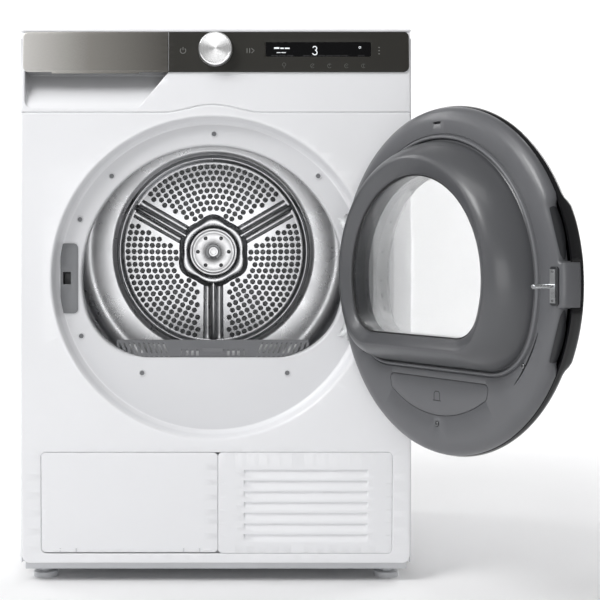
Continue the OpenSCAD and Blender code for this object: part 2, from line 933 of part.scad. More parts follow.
module vent_grille() color("white") {
    x0 = lower_seam + flap_gap / 2;
    x1 = lower_x1 - 0.4;
    difference() {
        union() {
            front_sheet(0, 3) round_rect(x0, lower_z0 + 0.4, x1, lower_z1 - 0.4, 6);
            front_sheet(0, 3) square_between(x0, lower_z0 + 0.4, x0 + 10, lower_z1 - 0.4);
            front_sheet(2, 4.5) square_between(lower_seam + 30, lower_z0 + 14, lower_x1 - 14, lower_z1 - 14);
        }
        for (i = [0:louvre_count - 1])
            upright(front - 40, front + 40)
                round_rect(louvre_x0, louvre_z0 + i * louvre_pitch - 2.5, louvre_x1,
                    louvre_z0 + i * louvre_pitch + 2.5, 2.4);
    }
}

module latch_plate() color([0.5, 0.5, 0.52]) {
    case_z0 = 444;
    case_z1 = 500;
    difference() {
        union() {
            intersection() {
                upright(floor_y - 1.6, floor_y - 0.05) round_rect(latch_x0, latch_z0, latch_x1, latch_z1, 7);
                at_ring() bar_y(237, floor_y - 3, floor_y + 3);
            }
            block([slot_x0 - 0.8, floor_y - 0.5, slot_z0 - 2.5], [slot_x1 + 1.8, floor_y + 3, slot_z1 + 2.5]);
            block([slot_x0 - 2.5, floor_y + 1.6, case_z0], [slot_x1 + 3, -250, case_z1]);
        }
        block([slot_x0 + 0.8, floor_y - 3, slot_z0], [slot_x1, floor_y + 5, slot_z1]);
        block([slot_x0, floor_y + 3.5, case_z0 + 2], [slot_x1, -252, case_z1 - 2]);
    }
    translate([0, latch_pivot_y, latch_pivot_z]) bar_x(1.5, slot_x0 - 1, slot_x1 + 1);
}

module latch_hook() color("black") {
    mid = (slot_x0 + slot_x1) / 2;
    difference() {
        union() {
            translate([0, latch_pivot_y, latch_pivot_z]) bar_x(3.4, mid - 4, mid + 4);
            block([mid - 4, latch_pivot_y - 2, 475], [mid + 4, latch_pivot_y + 2, latch_pivot_z]);
            block([mid - 4, latch_pivot_y - 5, 474], [mid + 4, latch_pivot_y + 2, 478]);
        }
        translate([0, latch_pivot_y, latch_pivot_z]) bar_x(1.5 + run_gap, mid - 6, mid + 6);
    }
}

module hinge_brackets() color("silver") {
    plate_t = 1.6;
    at_ring() upright(floor_y - plate_t - 0.05, floor_y - 0.05) {
        intersection() {
            difference() {
                circle(235);
                circle(214);
            }
            square_between(150, -hinge_screw_z, 240, hinge_screw_z);
        }
        for (s = [-1, 1])
            translate([hinge_screw_x, s * hinge_screw_z]) circle(7);
    }
    for (z = hinge_heights) {
        for (s = [-1, 1])
            translate([0, 0, ring_z + z + s * (knuckle_h / 2 + 0.3 + ear_t / 2) - ear_t / 2]) {
                translate([axis_x, hinge_y, 0]) cylinder(r = knuckle_r, h = ear_t);
                block([axis_x - 5, hinge_y, 0], [axis_x + 2.5, floor_y - plate_t + 0.1, ear_t]);
            }
        translate([axis_x, hinge_y, ring_z + z - 14]) cylinder(r = pin_r, h = 28);
    }
}

module cabinet_screws() color("darkgray") {
    plate_gap = 1.7;
    // plugs and screws in the recess floor
    for (p = [[2, 221], [-156, 156], [163, 156], [-205, 89], [-203, -91], [-109, -148], [115, -148]])
        translate([ring_x + p[0], 0, ring_z + p[1]]) bar_y(4.6, floor_y - 1.2, floor_y - 0.05);
    for (s = [-1, 1])
        translate([ring_x + hinge_screw_x, 0, ring_z + s * hinge_screw_z])
            bar_y(5, floor_y - 3, floor_y - plate_gap);
    // screws that hold the rear panel
    for (x = [-285, 285])
        for (z = [60, 300, 560, 815])
            translate([x, 0, z]) bar_y(4.5, 285.6, 288.4);
    // screws that hold the rear duct cover
    for (a = [20, 70, 110, 160, 200])
        at_drum() rotate([0, -a, 0]) translate([214, 0, 0]) bar_y(4, 286.9, 289.5);
}

module drain_spigot() color("dimgray") {
    translate([-60, 0, 95]) difference() {
        union() {
            bar_y(8, 276, 299);
            bar_y(13, 285.6, 288);
            bar_y(13, 279, 283.9);
        }
        bar_y(5, 270, 300);
    }
}

module power_gland() color("black") {
    translate([-20, 0, 95]) difference() {
        union() {
            bar_y(7, 278, 296);
            bar_y(11, 285.6, 290);
            bar_y(11, 279, 283.9);
        }
        bar_y(4, 270, 300);
    }
}

module levelling_feet() color([0.6, 0.6, 0.62]) {
    for (x = [-foot_x, foot_x])
        for (y = [-foot_y, foot_y])
            translate([x, y, 0]) {
                cylinder(r = foot_r, h = 8);
                cylinder(r = 6, h = 33.4);
                translate([0, 0, 9]) cylinder(r = 10, h = 5, $fn = 6);
            }
}

module control_knob() color("silver") {
    base_y = -304.3;
    translate([knob_x, 0, knob_z]) {
        translate([0, base_y, 0]) rotate([90, 0, 0]) cylinder(r1 = knob_r, r2 = knob_r - 1.4, h = 14);
        bar_y(3, -309, -291);
        difference() {
            bar_y(knob_r - 1.4, -319.3, -318.2);
            bar_y(knob_r - 4, -321, -318);
        }
    }
}

// ---------- water drawer ----------

module drawer_front() color([0.7, 0.69, 0.68]) {
    x0 = -fascia_x1;
    difference() {
        union() {
            front_sheet(-fascia_t, -0.3) round_rect(x0, fascia_z0, drawer_x1, console_top, 7);
            front_sheet(-fascia_t, -0.3) square_between(drawer_x1 - 10, fascia_z0, drawer_x1, console_top);
            front_sheet(-0.5, 8) square_between(-288, 790, -80, 840);
        }
        // finger recess behind the lower edge
        along_x(-252, -118) polygon([[-301.6, 780], [-301.6, 786], [-290, 789.5], [-290, 780]]);
    }
}

module water_tank() color("lightblue") {
    difference() {
        block([-289, -288.6, 788], [-79, 185, 836]);
        block([-287, -250, 790], [-81, 183, 834]);
    }
    // spout with its cap
    translate([-184, 185, 812]) bar_y(14, -1, 8);
}

// ---------- door ----------

module door_outer_shell() color([0.04, 0.04, 0.05]) door_place() difference() {
    union() {
        door_turned([[door_r - 1.5, rim_w + 0.2], [door_r, -6], [door_r, -2], [door_r - 7, 8],
            [door_r - 17, 15], [206, 19], [190, 20], [174, 18.5], [164, 16], [window_r, 13],
            [window_r, 9.2], [window_r + 5.8, 9.2], [window_r + 5.8, 4.5], [window_r + 8.5, 4.5],
            [window_r + 8.5, 14.4], [176, 16], [190, 17], [206, 16], [door_r - 18.5, 12.2],
            [door_r - 10, 6.2], [door_r - 3.4, -2.6], [door_r - 3.4, -6], [door_r - 4.5, rim_w + 0.2]]);
        // grip: the free edge keeps its full radius and thickness
        door_slab(-4, 11) difference() {
            intersection() {
                circle(door_r, $fn = 180);
                translate([-door_r - 1, -grip_half]) square([40, 2 * grip_half]);
            }
            circle(door_r - 12, $fn = 180);
        }
    }
    hinge_notches();
}

module door_inner_panel() color([0.42, 0.42, 0.43]) door_place() difference() {
    door_turned([[door_r - 2, rim_w], [door_r - 3, -17], [door_r - 8, -24], [door_r - 15, face_w],
        [180, face_w], [90, face_w], [90, face_w + 2.5], [180, face_w + 2.5], [door_r - 16, face_w + 2.5],
        [door_r - 10, -21.5], [door_r - 5.5, -16], [door_r - 4.5, rim_w]]);
    door_slab(-40, 0) d_shape(194.2, 117.2, 80);
    door_slab(-30, face_w + 1.4) lid_outline(0.5);
    door_slab(-40, -20) translate([-striker_e, striker_z]) circle(4);
    hinge_notches();
}

// The lid's outline: a segment of a circle with round corners
module lid_outline(grow) {
    intersection() {
        circle(184 + grow, $fn = 160);
        round_rect(-112 - grow, -200, 112 + grow, -133 + grow, 8);
    }
}

module door_lid() color([0.43, 0.43, 0.44]) door_place() door_slab(face_w - 0.4, face_w + 1.2) lid_outline(0);

// Bowl seen from the drum: wide at the door, narrow at the drum
module bowl_form(cut) {
    hull() {
        door_slab(face_w - 1, face_w) d_facets(194 - cut, 117 - cut, 80);
        door_slab(bowl_w + 6, bowl_w + 8) translate([0, rim_lift]) d_facets(160 - cut, 101 - cut, 50);
    }
}

module door_bowl() color([0.42, 0.42, 0.43]) door_place() {
    difference() {
        bowl_form(0);
        bowl_form(3);
        door_slab(bowl_w - 1, bowl_w + 9) translate([0, rim_lift]) d_facets(156, 97, 46);
    }
    difference() {
        hull() {
            door_slab(bowl_w + 6, bowl_w + 7) translate([0, rim_lift]) d_facets(160, 101, 50);
            door_slab(bowl_w, bowl_w + 1) translate([0, rim_lift]) d_facets(154, 95, 46);
        }
        door_slab(bowl_w - 1, bowl_w + 9) translate([0, tube_lift]) d_facets(140, 78.5, 45);
    }
    difference() {
        door_slab(bowl_w + 6, tube_w) translate([0, tube_lift]) d_facets(143, 81.5, 48);
        door_slab(bowl_w, tube_w + 1) translate([0, tube_lift]) d_facets(140, 78.5, 45);
    }
    difference() {
        door_slab(face_w, face_w + 2.5) d_facets(193.8, 116.8, 80);
        door_slab(face_w - 1, face_w + 3) d_facets(186, 109, 74);
    }
}

module door_glass() color([0.8, 0.9, 0.95, 0.4]) door_place()
    door_slab(glass_w, glass_w + 4) translate([0, tube_lift]) polygon(d_points(139.7, 78.2, 44.7));

module door_window() color([0.75, 0.85, 0.9, 0.4]) door_place()
    door_turned([[0, 8], [100, 7.4], [window_r + 5.4, 5], [window_r + 5.4, 8.6], [100, 11], [0, 11.6]]);

module door_seal() color([0.25, 0.25, 0.26]) door_place()
    door_slab(face_w - 4, face_w - 0.1) difference() {
        d_facets(199.5, 121.5, 85);
        d_facets(194.3, 117.3, 80);
    }

module door_striker() color("silver") door_place() {
    translate([-striker_e, 0, striker_z]) {
        block([-4, -face_w + 0.05, -21], [5, -face_w + 1.3, 21]);
        bar_y(striker_r, -face_w + 1, 60);
        bar_y(1.8, 60, 62);
    }
}

module hinge_arms() color("gray") door_place() {
    for (z = hinge_heights)
        difference() {
            union() {
                translate([hinge_e, 0, z - knuckle_h / 2]) cylinder(r = knuckle_r, h = knuckle_h);
                block([174, 2, z - knuckle_h / 2], [hinge_e, 7, z + knuckle_h / 2]);
                block([190, 2, z - knuckle_h / 2], [204, 24.4, z + knuckle_h / 2]);
            }
            translate([hinge_e, 0, z - 20]) cylinder(r = pin_r + run_gap, h = 40);
        }
}

module door_screws() color("darkgray") door_place() {
    for (p = [[0, -196], [-170, -104], [170, -104]])
        translate([p[0], 0, p[1]]) bar_y(3.6, -face_w + 0.05, -face_w + 1.4);
    for (z = [-18, 18])
        translate([-striker_e, 0, striker_z + z]) bar_y(2.6, -face_w + 1.35, -face_w + 2.1);
}

base_pan();
left_side_panel();
right_side_panel();
top_panel();
rear_panel();
rear_duct_cover();
front_panel();
console_frame();
control_fascia();
display_window();
control_board();
tank_housing();
front_bulkhead();
filter_housing();
front_felt_seal();
drum_bearing();
motor_housing();
fan_housing();
compressor();
exchanger_housing();
evaporator();
condenser();
refrigerant_pipes();
condensate_pump();
vent_grille();
latch_plate();
hinge_brackets();
cabinet_screws();
drain_spigot();
power_gland();
drive_belt();
levelling_feet();
control_knob();
drawer_front();
water_tank();
drum_shell();
drum_rear_wall();
drum_hub();
drum_lifters();
hub_bolts();
drum_roller_left();
drum_roller_right();
motor_rotor();
fan_wheel();
tensioner_arm();
tensioner_spring();
idler_pulley();
lint_filter();
access_cover();
latch_hook();
door_inner_panel();
door_bowl();
door_glass();
door_outer_shell();
door_window();
door_seal();
door_lid();
door_striker();
hinge_arms();
door_screws();
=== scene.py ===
import json
import math

import bmesh
import bpy
import numpy as np
from mathutils import Matrix, Vector
from mathutils.geometry import delaunay_2d_cdt


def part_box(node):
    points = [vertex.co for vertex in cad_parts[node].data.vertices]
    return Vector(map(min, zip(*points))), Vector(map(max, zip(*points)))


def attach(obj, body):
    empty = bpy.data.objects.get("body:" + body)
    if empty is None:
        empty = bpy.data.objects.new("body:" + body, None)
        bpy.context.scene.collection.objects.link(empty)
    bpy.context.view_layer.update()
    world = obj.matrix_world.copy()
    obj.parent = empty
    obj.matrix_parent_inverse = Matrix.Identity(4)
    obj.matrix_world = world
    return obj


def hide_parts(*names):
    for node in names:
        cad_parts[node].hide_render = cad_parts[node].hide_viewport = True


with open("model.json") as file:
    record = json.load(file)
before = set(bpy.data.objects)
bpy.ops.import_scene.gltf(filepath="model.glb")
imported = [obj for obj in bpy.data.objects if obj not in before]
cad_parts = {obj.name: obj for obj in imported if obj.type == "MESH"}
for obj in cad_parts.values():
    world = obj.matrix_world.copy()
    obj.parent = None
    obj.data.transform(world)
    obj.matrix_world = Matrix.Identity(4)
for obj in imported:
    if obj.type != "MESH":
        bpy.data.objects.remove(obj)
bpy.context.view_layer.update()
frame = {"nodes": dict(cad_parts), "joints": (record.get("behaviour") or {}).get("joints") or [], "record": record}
nodes = frame["nodes"]
joints = {j["name"]: j for j in frame["joints"]}

MM = 0.001
TAU = 2 * math.pi

# ---------------------------------------------------------------- places taken from the frame, in mm


def mm_box(node):
    low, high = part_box(node)
    return [c / MM for c in low], [c / MM for c in high]


hinge = [c / MM for c in joints["door_hinge"]["pos_m"]]
drum_axis = [c / MM for c in joints["drum_spin"]["pos_m"]]
knob_axis = [c / MM for c in joints["knob_turn"]["pos_m"]]
panel_low, panel_high = mm_box("front_panel")
wall_low, wall_high = mm_box("drum_rear_wall")
grille_low, grille_high = mm_box("vent_grille")
flap_low, flap_high = mm_box("access_cover")
window_low, window_high = mm_box("display_window")
RING_X, RING_Z = drum_axis[0], hinge[2]
RING_R, FLOOR_R, FLOOR_Y = 245, 238, -286
OPEN_D = (202.4, 124, 103)
HINGE_E = hinge[0] - RING_X
ARC_Z, ARC_Y, ARC_K = 415, -314, 1 / 10602
SEAM_Z, HUMP_H, HUMP_HALF = 721, 12, 78
WALL_Y = wall_high[1] - 1.2
PANEL_X = panel_high[0]

# ---------------------------------------------------------------- materials


class Nodes:
    """A node tree being put together."""

    def __init__(self, name):
        self.mat = bpy.data.materials.new(name)
        self.mat.use_nodes = True
        self.tree = self.mat.node_tree
        self.bsdf = self.tree.nodes["Principled BSDF"]

    def add(self, kind, **values):
        node = self.tree.nodes.new(kind)
        for key, value in values.items():
            if hasattr(node, key) and key not in node.inputs:
                setattr(node, key, value)
            else:
                node.inputs[key].default_value = value
        return node

    def link(self, out, into):
        self.tree.links.new(out, into)

    def noise(self, scale, detail=4, stretch=(1, 1, 1), rough=0.55):
        where = self.add("ShaderNodeTexCoord")
        place = self.add("ShaderNodeMapping")
        place.inputs["Scale"].default_value = stretch
        self.link(where.outputs["Object"], place.inputs["Vector"])
        tex = self.add("ShaderNodeTexNoise", Scale=scale, Detail=detail, Roughness=rough)
        self.link(place.outputs["Vector"], tex.inputs["Vector"])
        return tex.outputs["Fac"]

    def spread(self, fac, low, high):
        rng = self.add("ShaderNodeMapRange")
        self.link(fac, rng.inputs["Value"])
        rng.inputs["To Min"].default_value = low
        rng.inputs["To Max"].default_value = high
        return rng.outputs["Result"]

    def colours(self, fac, low, high, start=0.3, end=0.7):
        ramp = self.add("ShaderNodeValToRGB")
        ramp.color_ramp.elements[0].color = (*low, 1)
        ramp.color_ramp.elements[1].color = (*high, 1)
        ramp.color_ramp.elements[0].position = start
        ramp.color_ramp.elements[1].position = end
        self.link(fac, ramp.inputs["Fac"])
        self.link(ramp.outputs["Color"], self.bsdf.inputs["Base Color"])

    def bump(self, height, strength, distance):
        node = self.add("ShaderNodeBump")
        node.inputs["Strength"].default_value = strength
        node.inputs["Distance"].default_value = distance
        self.link(height, node.inputs["Height"])
        self.link(node.outputs["Normal"], self.bsdf.inputs["Normal"])

    def put(self, **values):
        for key, value in values.items():
            self.bsdf.inputs[key.replace("_", " ")].default_value = value


def shade(c, k):
    return tuple(min(1, v * k) for v in c)


def plastic(name, colour, rough=0.4, grain=900, depth=0.00004, vary=0.04, coat=0.0, spec=0.5):
    """Moulded plastic: a fine grain, with slow changes in tone and gloss."""
    m = Nodes(name)
    m.put(Roughness=rough, Coat_Weight=coat, Coat_Roughness=0.06, Specular_IOR_Level=spec)
    slow = m.noise(14, 3)
    m.colours(slow, shade(colour, 1 - vary), shade(colour, 1 + vary))
    m.link(m.spread(m.noise(60, 3), rough * 0.88, rough * 1.12), m.bsdf.inputs["Roughness"])
    m.bump(m.noise(grain, 3), 0.25, depth)
    return m.mat


def enamel(name, colour, rough=0.22, coat=0.35):
    """Painted sheet steel: a faint orange peel under a clear gloss."""
    m = Nodes(name)
    m.put(Roughness=rough, Coat_Weight=coat, Coat_Roughness=0.08)
    m.colours(m.noise(3, 2), shade(colour, 0.985), shade(colour, 1.01))
    m.link(m.spread(m.noise(25, 3), rough * 0.85, rough * 1.2), m.bsdf.inputs["Roughness"])
    m.bump(m.noise(420, 2), 0.06, 0.00003)
    return m.mat


def metal(name, colour, rough=0.25, stretch=(1, 1, 1), scale=60, brush=0.08, depth=0.00002, vary=0.08):
    """Bare metal, brushed along the axis that is stretched least."""
    m = Nodes(name)
    m.put(Metallic=1.0, Roughness=rough)
    lines = m.noise(scale, 5, stretch)
    m.colours(lines, shade(colour, 1 - vary), shade(colour, 1 + vary))
    m.link(m.spread(lines, rough * 0.75, rough * 1.3), m.bsdf.inputs["Roughness"])
    m.bump(lines, brush, depth)
    return m.mat


def turned_metal(name, colour, centre, rough=0.26):
    """Metal turned on a lathe about the y axis: rings, and the fan of light they give."""
    m = Nodes(name)
    m.put(Metallic=1.0, Roughness=rough, Anisotropic=0.85, Anisotropic_Rotation=0.25)
    where = m.add("ShaderNodeTexCoord")
    split = m.add("ShaderNodeVectorMath", operation="SUBTRACT")
    split.inputs[1].default_value = [c * MM for c in centre]
    m.link(where.outputs["Object"], split.inputs[0])
    flat = m.add("ShaderNodeVectorMath", operation="MULTIPLY")
    flat.inputs[1].default_value = (1, 0, 1)
    m.link(split.outputs["Vector"], flat.inputs[0])
    far = m.add("ShaderNodeVectorMath", operation="LENGTH")
    m.link(flat.outputs["Vector"], far.inputs[0])
    tex = m.add("ShaderNodeTexNoise", Scale=2600, Detail=3)
    tex.noise_dimensions = "1D"
    m.link(far.outputs["Value"], tex.inputs["W"])
    m.colours(tex.outputs["Fac"], shade(colour, 0.9), shade(colour, 1.06))
    m.link(m.spread(tex.outputs["Fac"], rough * 0.8, rough * 1.25), m.bsdf.inputs["Roughness"])
    m.bump(tex.outputs["Fac"], 0.1, 0.00002)
    spin = m.add("ShaderNodeTangent", direction_type="RADIAL", axis="Y")
    m.link(spin.outputs["Tangent"], m.bsdf.inputs["Tangent"])
    return m.mat


def clear(name, colour, rough=0.02, weight=1.0):
    m = Nodes(name)
    m.put(Roughness=rough, IOR=1.45, Transmission_Weight=weight, Alpha=0.3)
    m.bsdf.inputs["Base Color"].default_value = (*colour, 1)
    m.link(m.spread(m.noise(8, 2), rough * 0.6, rough * 1.6), m.bsdf.inputs["Roughness"])
    return m.mat


def silver_lacquer(name):
    """Metallic lacquer on the drawer front, paler towards its outer lower end."""
    m = Nodes(name)
    m.put(Metallic=0.55, Roughness=0.38, Coat_Weight=0.2, Coat_Roughness=0.1)
    where = m.add("ShaderNodeTexCoord")
    parts = m.add("ShaderNodeSeparateXYZ")
    m.link(where.outputs["Object"], parts.inputs[0])
    along = m.add("ShaderNodeMapRange")
    m.link(parts.outputs["X"], along.inputs["Value"])
    along.inputs["From Min"].default_value = -0.296
    along.inputs["From Max"].default_value = -0.074
    speck = m.noise(1500, 2, (0.2, 1, 1))
    mix = m.add("ShaderNodeMath", operation="MULTIPLY_ADD")
    m.link(speck, mix.inputs[0])
    mix.inputs[1].default_value = 0.08
    m.link(along.outputs["Result"], mix.inputs[2])
    ramp = m.add("ShaderNodeValToRGB")
    ramp.color_ramp.elements[0].color = (0.68, 0.665, 0.64, 1)
    ramp.color_ramp.elements[1].color = (0.105, 0.10, 0.09, 1)
    ramp.color_ramp.elements[1].position = 1.0
    middle = ramp.color_ramp.elements.new(0.5)
    middle.color = (0.26, 0.25, 0.23, 1)
    m.link(mix.outputs[0], ramp.inputs["Fac"])
    m.link(ramp.outputs["Color"], m.bsdf.inputs["Base Color"])
    m.bump(speck, 0.1, 0.00002)
    return m.mat


def lamp(name, colour, power):
    """Lit figures behind the display."""
    m = Nodes(name)
    m.colours(m.noise(200, 2), shade(colour, 0.85), colour)
    m.put(Roughness=0.5, Emission_Strength=power)
    m.bsdf.inputs["Emission Color"].default_value = (*colour, 1)
    return m.mat


def pocket_painted_shade(name, colour):
    """The pocket's white plastic with painted shade: darker towards the top, where the drawer front overhangs it."""
    m = Nodes(name)
    m.put(Roughness=0.38, Coat_Weight=0.05)
    where = m.add("ShaderNodeTexCoord")
    parts = m.add("ShaderNodeSeparateXYZ")
    m.link(where.outputs["Object"], parts.inputs[0])
    # painted shade: the colour darkens with height, from the pocket's foot to its top under the drawer front
    height = m.add("ShaderNodeMapRange")
    m.link(parts.outputs["Z"], height.inputs["Value"])
    height.inputs["From Min"].default_value = 0.735
    height.inputs["From Max"].default_value = 0.783
    mix = m.add("ShaderNodeMath", operation="MULTIPLY_ADD")
    m.link(m.noise(60, 3), mix.inputs[0])
    mix.inputs[1].default_value = 0.03
    m.link(height.outputs["Result"], mix.inputs[2])
    m.colours(mix.outputs[0], colour, shade(colour, 0.42), 0.0, 1.0)
    m.bump(m.noise(700, 3), 0.2, 0.00002)
    return m.mat


WHITE = (0.86, 0.865, 0.885)
mats = {
    "white_enamel": enamel("white_enamel", WHITE),
    # painted shade: a darker, duller copy of the white enamel for the recess and the plug rims on it, though they are
    # the same pressed sheet
    "ring_enamel": enamel("ring_enamel", (0.72, 0.725, 0.745), 0.34, 0.15),
    "white_plastic": plastic("white_plastic", WHITE, 0.3, 700, 0.00002, 0.002, 0.15),
    # the pocket's white, with painted shade towards its top
    "pocket_plastic": pocket_painted_shade("pocket_plastic", WHITE),
    "light_plastic": plastic("light_plastic", (0.66, 0.67, 0.69), 0.42),
    "galvanised": metal("galvanised", (0.56, 0.57, 0.58), 0.42, (1, 1, 1), 110, 0.05, 0.00004, 0.09),
    # painted light and shade in the drum: the shell's steel is darkened to stand for shade, while the rear wall's copy
    # of the same steel and the hub's steel are made far paler to stand for light that barely reaches them
    "drum_steel": metal("drum_steel", (0.23, 0.234, 0.243), 0.3, (1, 0.05, 1), 40, 0.015, 0.00001, 0.05),
    "wall_steel": metal("wall_steel", (0.66, 0.665, 0.68), 0.28, (1, 1, 1), 30, 0.015, 0.00001, 0.05),
    "hub_steel": metal("hub_steel", (0.86, 0.86, 0.87), 0.34, (1, 1, 1), 90, 0.05, 0.00003, 0.04),
    "dark_fascia": plastic("dark_fascia", (0.026, 0.0248, 0.021), 0.42, 1200, 0.00001, 0.03, 0.0, 0.3),
    "black_gloss": plastic("black_gloss", (0.004, 0.004, 0.005), 0.1, 900, 0.000004, 0.02, 0.25, 0.4),
    "display_glass": plastic("display_glass", (0.0015, 0.0015, 0.002), 0.22, 900, 0.000004, 0.02, 0.0, 0.25),
    "drawer_silver": silver_lacquer("drawer_silver"),
    "grey_plastic": plastic("grey_plastic", (0.122, 0.1245, 0.1325), 0.33, 800, 0.00003, 0.03, 0.1),
    "bowl_plastic": plastic("bowl_plastic", (0.09, 0.092, 0.098), 0.33, 800, 0.00003, 0.03, 0.12),
    "dark_plastic": plastic("dark_plastic", (0.03, 0.031, 0.034), 0.4, 800, 0.00003, 0.04),
    "throat_plastic": plastic("throat_plastic", (0.085, 0.087, 0.092), 0.3, 800, 0.00003, 0.03, 0.2),
    "strip_plastic": plastic("strip_plastic", (0.1, 0.102, 0.107), 0.34, 800, 0.00003, 0.03, 0.1),
    "filter_grey": plastic("filter_grey", (0.19, 0.193, 0.203), 0.42, 900, 0.00004, 0.04),
    "latch_grey": plastic("latch_grey", (0.21, 0.215, 0.225), 0.4, 900, 0.00003, 0.04),
    "knob_metal": turned_metal("knob_metal", (0.95, 0.95, 0.955), knob_axis),
    "clear_glass": clear("clear_glass", (0.96, 0.975, 0.98)),
    "window_glass": clear("window_glass", (0.97, 0.98, 0.985)),
    "tank_plastic": plastic("tank_plastic", (0.62, 0.67, 0.71), 0.35),
    "black_rubber": plastic("black_rubber", (0.02, 0.02, 0.021), 0.62, 500, 0.00006),
    "grey_rubber": plastic("grey_rubber", (0.15, 0.153, 0.162), 0.4, 500, 0.00003, 0.03),
    "felt": plastic("felt", (0.16, 0.16, 0.165), 0.95, 1400, 0.0004, 0.2),
    "board_green": plastic("board_green", (0.02, 0.12, 0.05), 0.35),
    "motor_grey": enamel("motor_grey", (0.13, 0.14, 0.15), 0.45, 0.1),
    "compressor_black": enamel("compressor_black", (0.015, 0.015, 0.016), 0.3, 0.4),
    "fin_aluminium": metal("fin_aluminium", (0.75, 0.76, 0.77), 0.3, (1, 1, 0.1), 60),
    "copper_pipe": metal("copper_pipe", (0.78, 0.42, 0.28), 0.28),
    "zinc_steel": metal("zinc_steel", (0.62, 0.63, 0.64), 0.28, (1, 1, 1), 80, 0.05),
    "dark_steel": metal("dark_steel", (0.24, 0.245, 0.25), 0.35, (1, 1, 1), 80, 0.05),
    "black_plastic": plastic("black_plastic", (0.014, 0.014, 0.015), 0.45),
    "axle_steel": metal("axle_steel", (0.6, 0.6, 0.61), 0.3, (1, 0.1, 1), 80, 0.06),
    "display_light": lamp("display_light", (0.75, 0.78, 0.8), 0.55),
    "icon_grey": plastic("icon_grey", (0.20, 0.20, 0.19), 0.5, 1500, 0.00001, 0.02),
    "icon_faint": plastic("icon_faint", (0.10, 0.10, 0.094), 0.5, 1500, 0.00001, 0.02),
}

# ---------------------------------------------------------------- shapes


def angles(n):
    return np.arange(n) * TAU / n


def circle(r, n=240):
    a = angles(n)
    return np.stack([r * np.cos(a), r * np.sin(a)], 1)


def d_outline(r, flat, corner, lift=0.0, n=240):
    """A circle with a flat lower side and round corners, one point per angle about its centre."""
    cx = math.sqrt((r - corner) ** 2 - (flat - corner) ** 2)
    cy = corner - flat
    turn = math.atan2(cy, cx)
    out = []
    for a in angles(n):
        c, s = math.cos(a), math.sin(a)
        rho = r
        if math.atan2(s, abs(c)) < turn:
            side = 1 if c >= 0 else -1
            dot = c * side * cx + s * cy
            rho = dot + math.sqrt(max(0, dot * dot - (cx * cx + cy * cy - corner * corner)))
            if s < 0 and abs(c / -s) * flat <= cx:
                rho = flat / -s
        out.append((rho * c, rho * s + lift))
    return np.array(out)


def arc_y(z):
    return ARC_Y + (z - ARC_Z) ** 2 * ARC_K


def inset(loop, d):
    """A closed loop of (x, z) moved inwards by d; it runs anticlockwise."""
    p = np.asarray(loop, float)
    before, after = np.roll(p, 1, 0), np.roll(p, -1, 0)
    t = after - before
    t /= np.linalg.norm(t, axis=1)[:, None] + 1e-9
    return p + d * np.stack([-t[:, 1], t[:, 0]], 1)


def round_rect(x0, z0, x1, z1, r, steps=8):
    out = []
    for cx, cz, start in ((x1 - r, z0 + r, -90), (x1 - r, z1 - r, 0), (x0 + r, z1 - r, 90), (x0 + r, z0 + r, 180)):
        for i in range(steps + 1):
            a = math.radians(start + 90 * i / steps)
            out.append((cx + r * math.cos(a), cz + r * math.sin(a)))
    return np.array(out)


def resample(loop, step):
    """Adds points along the long edges of a closed loop."""
    p = np.asarray(loop, float)
    out = []
    for a, b in zip(p, np.roll(p, -1, 0)):
        n = max(1, int(np.linalg.norm(b - a) // step))
        out += [a + (b - a) * i / n for i in range(n)]
    return np.array(out)


def inside(points, loop):
    """For each point, whether it is inside the closed loop."""
    x, z = points[:, :1], points[:, 1:]
    a, b = loop, np.roll(loop, -1, 0)
    span = (a[:, 1] > z) != (b[:, 1] > z)
    rise = b[:, 1] - a[:, 1]
    cross = (b[:, 0] - a[:, 0]) * (z - a[:, 1]) / np.where(rise == 0, 1, rise) + a[:, 0]
    return np.sum(span & (x < cross), 1) % 2 == 1


def fill(outer, holes=(), rows=(), columns=()):
    """Triangles that fill a flat outline with holes, cut along the given rows and columns."""
    points, edges = [], []
    for loop in (outer, *holes):
        start = len(points)
        points += [Vector(p) for p in loop]
        edges += [(start + i, start + (i + 1) % len(loop)) for i in range(len(loop))]
    low, high = np.min(outer, 0) - 1, np.max(outer, 0) + 1
    for z in rows:
        points += [Vector((low[0], z)), Vector((high[0], z))]
        edges.append((len(points) - 2, len(points) - 1))
    for x in columns:
        points += [Vector((x, low[1])), Vector((x, high[1]))]
        edges.append((len(points) - 2, len(points) - 1))
    made, _, faces, *_ = delaunay_2d_cdt(points, edges, [], 0, 1e-4)
    made = np.array([tuple(v) for v in made])
    mids = np.array([made[list(f)].mean(0) for f in faces])
    keep = inside(mids, np.asarray(outer))
    for hole in holes:
        hole = np.asarray(hole)
        near = keep & np.all((mids > hole.min(0)) & (mids < hole.max(0)), 1)
        keep[near] = ~inside(mids[near], hole)
    return made, [tuple(f) for f, kept in zip(faces, keep) if kept]


